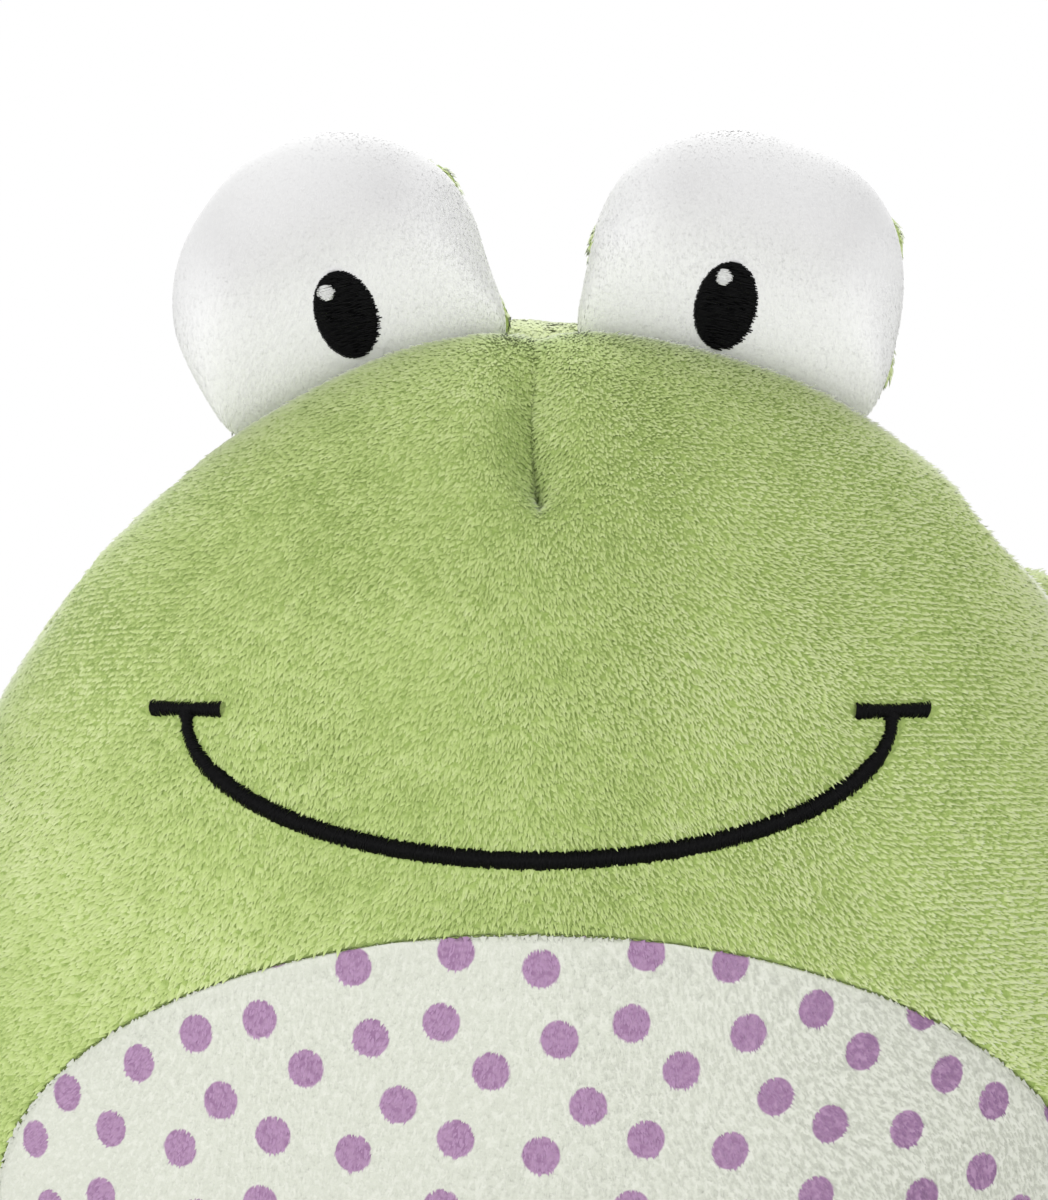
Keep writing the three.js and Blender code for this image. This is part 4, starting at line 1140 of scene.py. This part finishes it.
def eye_skin(seat, side, angle, share, inset):
    """A lobe's skin in the frog's frame: share 0 is the middle of its front or back, 1 its edge seam."""
    near = sum(near_angle(angle, at, PEEK_REACH) for at in seat["peeks"])
    out = eye_reach(seat, angle, inset) * share
    if side > 0:
        out = out + PEEK_ROLL * near * bell(np.arcsin(np.minimum(share, 1)) / (math.pi / 2) - 0.86, 0.07)
    x, height = out * np.cos(angle), EYE_WIDEST + out * np.sin(angle)
    dome = (EYE_HALF_DEPTH - inset) * np.sqrt(np.maximum(0, 1 - share**2))
    wedge = EYE_NECK / 2 + EYE_SPREAD * np.maximum(height, 0) - 0.5 * inset
    soft = lambda value: np.maximum(value, 0.05 * MM) ** -6.0
    thick = (soft(dome) + soft(wedge)) ** (-1 / 6)
    sag = x * x / (2 * seat["radius"]) * (1 - height / EYE_HEIGHT)
    edge = EDGE_BACK - PEEK * near
    spot = np.stack([x + seat["lean"] * height, side * thick + edge * share**8, height - sag], -1)
    return seat["origin"] + spot @ seat["axes"]


def eye_seat(x, lean, peeks, bulges):
    """Where a lobe is sewn in and how it stands: its own frame, the rim's curve there and its shape."""
    turn = np.array(math.acos(x / HALF_WIDTH))
    outward = math.atan2(math.sin(turn) / CROWN_RISE, math.cos(turn) / HALF_WIDTH)
    up = np.array([math.cos(outward), 0, math.sin(outward)])
    squares = (HALF_WIDTH * math.sin(turn)) ** 2 + (CROWN_RISE * math.cos(turn)) ** 2
    return {"origin": sewn_skin(-1, turn, np.array(1.0), 0, lean=0) + up * EYE_SEAT,
            "axes": np.array([[up[2], 0, -up[0]], [0, 1, 0], up]),
            "radius": squares**1.5 / (HALF_WIDTH * CROWN_RISE),
            "lean": math.copysign(math.tan(math.radians(lean)), x), "peeks": peeks, "bulges": bulges}


def white_shade(tone):
    return tone.clipped(-1.2, 0.8).between(colour(200, 199, 199), colour(240, 240, 240))


def white_pile_dress(dye):
    root, along, tone_and_painted_light, each = tuft_values(dye)
    # Roots a little darker than tips is painted shade; the marked tone paints a greyer band across the eye.
    return {"Base Color": white_shade(along * 0.25 + each * 0.15 + dye.noise(12 * MM, root) * 0.2 + tone_and_painted_light)}


def white_backing_dress(dye):
    knit = dye.noise(1.2 * MM, place_of(dye), 3.0)
    # The marked tone paints the same greyer band on the cloth under the pile.
    return {"Base Color": white_shade(knit * 0.3 + attribute(dye, "tone_and_painted_light", 2) + 0.12),
            "Normal": dye.bump(knit, 0.15 * MM)}


def on_eye(seat, places, inset):
    """Front skin of a lobe over places in its own front view."""
    height = places[:, 1]
    upright = places[:, 0] - seat["lean"] * height
    angle = np.arctan2(height - EYE_WIDEST, upright)
    share = np.hypot(upright, height - EYE_WIDEST) / eye_reach(seat, angle, inset)
    return eye_skin(seat, -1, angle, np.minimum(share, 1), inset)


def satin_patch(name, seat, middle, half, tall, tilt, inset, arch, finish, seed):
    """An oval filled with rows of satin stitch, each row broken into stitches of about one length."""
    chance = np.random.default_rng(seed)
    firsts, lasts = [], []
    for row in np.arange(-tall + 0.3 * PUPIL_PITCH, tall, PUPIL_PITCH):
        wide = half * math.sqrt(max(0, 1 - (row / tall) ** 2)) + 0.2 * MM
        ragged = np.array([0.012, 0.012 if row > 0 else 0.05])
        ends = np.array([-wide, wide]) + ragged * half * chance.standard_normal(2)
        breaks = np.arange(ends[0] + PUPIL_STITCH * (0.4 + 0.8 * chance.random()),
                           ends[1] - 0.3 * PUPIL_STITCH, PUPIL_STITCH)
        stops = np.concatenate([ends[:1], breaks, ends[1:]])
        for a, b in zip(stops[:-1], stops[1:]):
            firsts.append((a - PUPIL_LAP, row))
            lasts.append((b + PUPIL_LAP, row + 0.1 * MM * chance.standard_normal()))
    turn_in = np.array([[math.cos(tilt), math.sin(tilt)], [-math.sin(tilt), math.cos(tilt)]])
    start, end = (on_eye(seat, np.array(spots) @ turn_in + middle, inset) for spots in (firsts, lasts))
    # Underlay: a coarser layer of upright stitches that keeps the cloth from showing through.
    column = np.arange(-half + 0.4 * MM, half, PUPIL_PITCH)
    tops = tall * np.sqrt(np.maximum(0, 1 - (column / half) ** 2)) - 0.2 * MM
    under = [np.stack([column, sign * tops], 1) @ turn_in + middle for sign in (-1, 0, 0, 1)]
    low, high = (on_eye(seat, np.concatenate(spots), inset - 0.1 * MM) for spots in (under[:2], under[2:]))
    rise = np.concatenate([np.full(len(start), arch), np.full(len(low), 0.35 * arch)])
    start, end = np.concatenate([start, low]), np.concatenate([end, high])
    out = np.tile(-seat["axes"][1], (len(start), 1))
    return strands(name, start, end, out, SATIN_THREAD, rise[:, None], finish)


white_pile = finish("white_plush_pile", white_pile_dress, Roughness=0.95, Sheen_Weight=0.2,
                    Sheen_Roughness=0.5)
white_backing = finish("white_plush_backing", white_backing_dress, Roughness=1.0, Sheen_Weight=0.2)
white_thread = finish("white_sewing_thread", thread_dress(colour(205, 203, 197), colour(228, 226, 221)),
                      Roughness=0.6)
white_satin = finish("white_satin_thread", satin_dress(colour(214, 214, 214), colour(240, 240, 240)),
                     Specular_IOR_Level=0.3)
for number, (name, base_x, lean, inward, peeks, bulges) in enumerate(LOBES):
    seat, body = eye_seat(base_x, lean, peeks, bulges), f"{name}_eye"
    pupil_middle = np.array([-math.copysign(inward, base_x) + seat["lean"] * PUPIL_RISE, PUPIL_RISE])
    tilt = math.radians(PUPIL_TILT) * math.copysign(1, base_x)
    bend = [tuple(seat["origin"] + seat["axes"][2] * rise) for rise in (BEND_FOOT, BEND_TOP)]

    def in_eye(root):
        """Sideways, backwards and upwards in the lobe's own frame."""
        return ((root - seat["origin"]) @ seat["axes"].T).T

    def clear_of_pupil(root):
        across, _, height = in_eye(root)
        aside, above = across - pupil_middle[0], height - pupil_middle[1]
        x = aside * math.cos(tilt) + above * math.sin(tilt)
        z = above * math.cos(tilt) - aside * math.sin(tilt)
        return ease(np.hypot(x / PUPIL_HALF, z / PUPIL_TALL), 0.97, 1.03)

    def eye_calm(root):
        return 0.15 + 0.75 * ease(in_eye(root)[2], 28 * MM, 48 * MM)

    def edge_calm(root):
        return 0.85 * (1 - ease(in_eye(root)[1], 1.5 * MM, 6 * MM))

    def eye_painted_shade(root):
        # Painted shade: a greyer band across the middle of the white front, where the lamps light it most, fading out
        # towards its sides.
        across, _, height = in_eye(root)
        return 0.12 - 0.75 * bell(height - 39 * MM, 15 * MM) * (1 - ease(np.abs(across), 20 * MM, 38 * MM))

    u, v = disc_from_square(*square_grid(EYE_CELLS, EYE_CELLS))
    angle, share = np.arctan2(v, u), np.sin(np.minimum(np.hypot(u, v), 1) * math.pi / 2)
    fronts = eye_skin(seat, -1, angle, share, EYE_PLUSH)
    backs = eye_skin(seat, 1, angle, share, EYE_BACK_PLUSH)[:, ::-1]
    front = cloth_panel(f"{name}_eye_front_cloth", fronts, white_backing, EYE_TUCK, EYE_THICK)
    back = cloth_panel(f"{name}_eye_back_cloth", backs, green_backing, EYE_TUCK, EYE_THICK)
    mark(front.data, "tone_and_painted_light", np.tile(eye_painted_shade(fronts.reshape(-1, 3)), 2))
    tie(front, body, "white_plush", f"{name}_eye_front", EYE_FILLED, bend)
    tie(back, body, "green_plush", f"{name}_eye_back", EYE_FILLED, bend)
    front_tufts = pile(f"{name}_eye_front_pile", fronts, downwards, white_pile, WHITE_SEED + number,
                       clear_of_pupil, tone_and_painted_light=eye_painted_shade, calm=eye_calm, **WHITE_PILE)
    # Painted light near the edge seam: the green back's pile is paler there, with less painted shade at its roots.
    back_tufts = pile(f"{name}_eye_back_pile", backs, downwards, green_pile, EYE_BACK_SEED + number,
                      tone_and_painted_light=lambda root: 0.35 * edge_calm(root), calm=edge_calm,
                      painted_root_shade=lambda root: 1 - edge_calm(root), **EYE_BACK_PILE)
    tie(front_tufts, body, "white_plush", bend=bend)
    tie(back_tufts, body, "green_plush", bend=bend)

    def filling_skin(side, turn, share):
        reach = np.sin(share * math.pi / 2) * (0.97 - 0.25 * np.maximum(0, -np.sin(turn)))
        return eye_skin(seat, side, turn, reach, EYE_FILL)

    fill_points, fill_faces, _ = closed_form(EYE_CELLS // 3, filling_skin)
    filling = new_piece(f"{name}_eye_filling", fill_points, fill_faces, wadding)
    tie(filling, body, "fibre_filling", f"{name}_eye_fill", EYE_FILLED, bend)

    seam_angle = np.linspace(-0.35 * math.pi, 1.35 * math.pi, 200)
    seam_path = eye_skin(seat, 0, seam_angle, np.ones_like(seam_angle), EYE_SEAM)
    seam_centre = eye_skin(seat, 0, np.array(0.0), np.array(0.0), 0)
    seam = seam_row(f"{name}_eye_seam_stitches", seam_path, white_thread, seam_centre)
    tie(seam, body, "white_thread", f"{name}_eye_seam_thread", bend=bend)
    pupil = satin_patch(f"{name}_pupil_satin", seat, pupil_middle, PUPIL_HALF, PUPIL_TALL, tilt, EYE_PLUSH,
                        PUPIL_ARCH, black_satin, PUPIL_SEED + number)
    tie(pupil, body, "black_satin_stitch", f"{name}_pupil")
    glint = satin_patch(f"{name}_glint_satin", seat, pupil_middle + [GLINT_ASIDE, GLINT_RISE],
                        GLINT_RADIUS, GLINT_RADIUS, tilt, EYE_PLUSH - GLINT_OUT, GLINT_ARCH, white_satin,
                        GLINT_SEED + number)
    tie(glint, body, "white_thread", f"{name}_pupil_glint")

# Floor, light and camera: a pale studio floor, broad soft lamps in front at both sides and above the
# back, and a white background that only the camera sees.
FLOOR_HALF, SKY_STRENGTH = 1.0, 0.55


def floor_dress(dye):
    grain = dye.noise(20 * MM, place_of(dye))
    return {"Base Color": grain.clipped(0.2, 0.8).between(colour(238, 238, 238), colour(244, 244, 244))}


floor = new_piece("floor", np.array([[-1, -1, 0], [1, -1, 0], [1, 1, 0], [-1, 1, 0]]) * FLOOR_HALF,
                  [[0, 1, 2, 3]], finish("studio_floor", floor_dress, Roughness=0.9))
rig.stage(floor)

world = bpy.data.worlds.new("studio")
bpy.context.scene.world = world
world.use_nodes = True
world.node_tree.nodes.clear()
sky = Dye(world.node_tree)
camera_ray, glossy_ray, clear_ray = (sky.node("LightPath", None, None, f"Is {kind} Ray")
                                     for kind in ("Camera", "Glossy", "Transmission"))
direct = sky.sum("MAXIMUM", sky.sum("MAXIMUM", camera_ray, glossy_ray), clear_ray)
ambient, white = (sky.node("Background", None, {"Color": (1, 1, 1, 1), "Strength": strength})
                  for strength in (SKY_STRENGTH, 1.0))
sky.node("OutputWorld", None, {"Surface": sky.node("MixShader", None, {0: direct, 1: ambient, 2: white})})


def lamp(name, place, aim, size, power):
    light = bpy.data.lights.new(name, "AREA")
    light.size, light.energy = size, power
    held = bpy.data.objects.new(name, light)
    bpy.context.scene.collection.objects.link(held)
    held.location = place
    gaze = np.array(aim) - np.array(place)
    pitch = math.atan2(math.hypot(gaze[0], gaze[1]), -gaze[2])
    held.rotation_euler = (pitch, 0, math.atan2(-gaze[0], gaze[1]))


lamp("key_lamp", (-1.4, -1.4, 0.45), (0, 0, 0.2), 1.2, 13.5)
lamp("fill_lamp", (0.9, -1.6, 0.15), (0, 0, 0.2), 1.4, 14)
lamp("back_lamp", (0, 1.0, 1.8), (0, 0, 0.3), 1.4, 31)

AZIMUTH, ELEVATION, AWAY = math.radians(3), math.radians(2), 1.5
AIM_HEIGHT, AIM_ASIDE, SENSOR, FRAME_TALL = 257 * MM, -7.03 * MM, 24.0, 312.48 * MM
camera = bpy.data.cameras.new("camera")
camera.sensor_fit, camera.sensor_height, camera.lens = "VERTICAL", SENSOR, SENSOR * AWAY / FRAME_TALL
eye = bpy.data.objects.new("camera", camera)
bpy.context.scene.collection.objects.link(eye)
to_eye = np.array([math.sin(AZIMUTH) * math.cos(ELEVATION), -math.cos(AZIMUTH) * math.cos(ELEVATION),
                   math.sin(ELEVATION)])
right = np.array([math.cos(AZIMUTH), math.sin(AZIMUTH), 0])
eye.location = to_eye * AWAY + right * AIM_ASIDE + [0, 0, AIM_HEIGHT]
eye.rotation_euler = (math.pi / 2 - ELEVATION, 0, AZIMUTH)
bpy.context.scene.camera = eye
bpy.context.scene.view_settings.view_transform = "Standard"

with open("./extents.json", "w") as size_file:
    json.dump({"cad": [list(c) for c in cad_box], "visual": [list(c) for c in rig.bounds()]}, size_file)
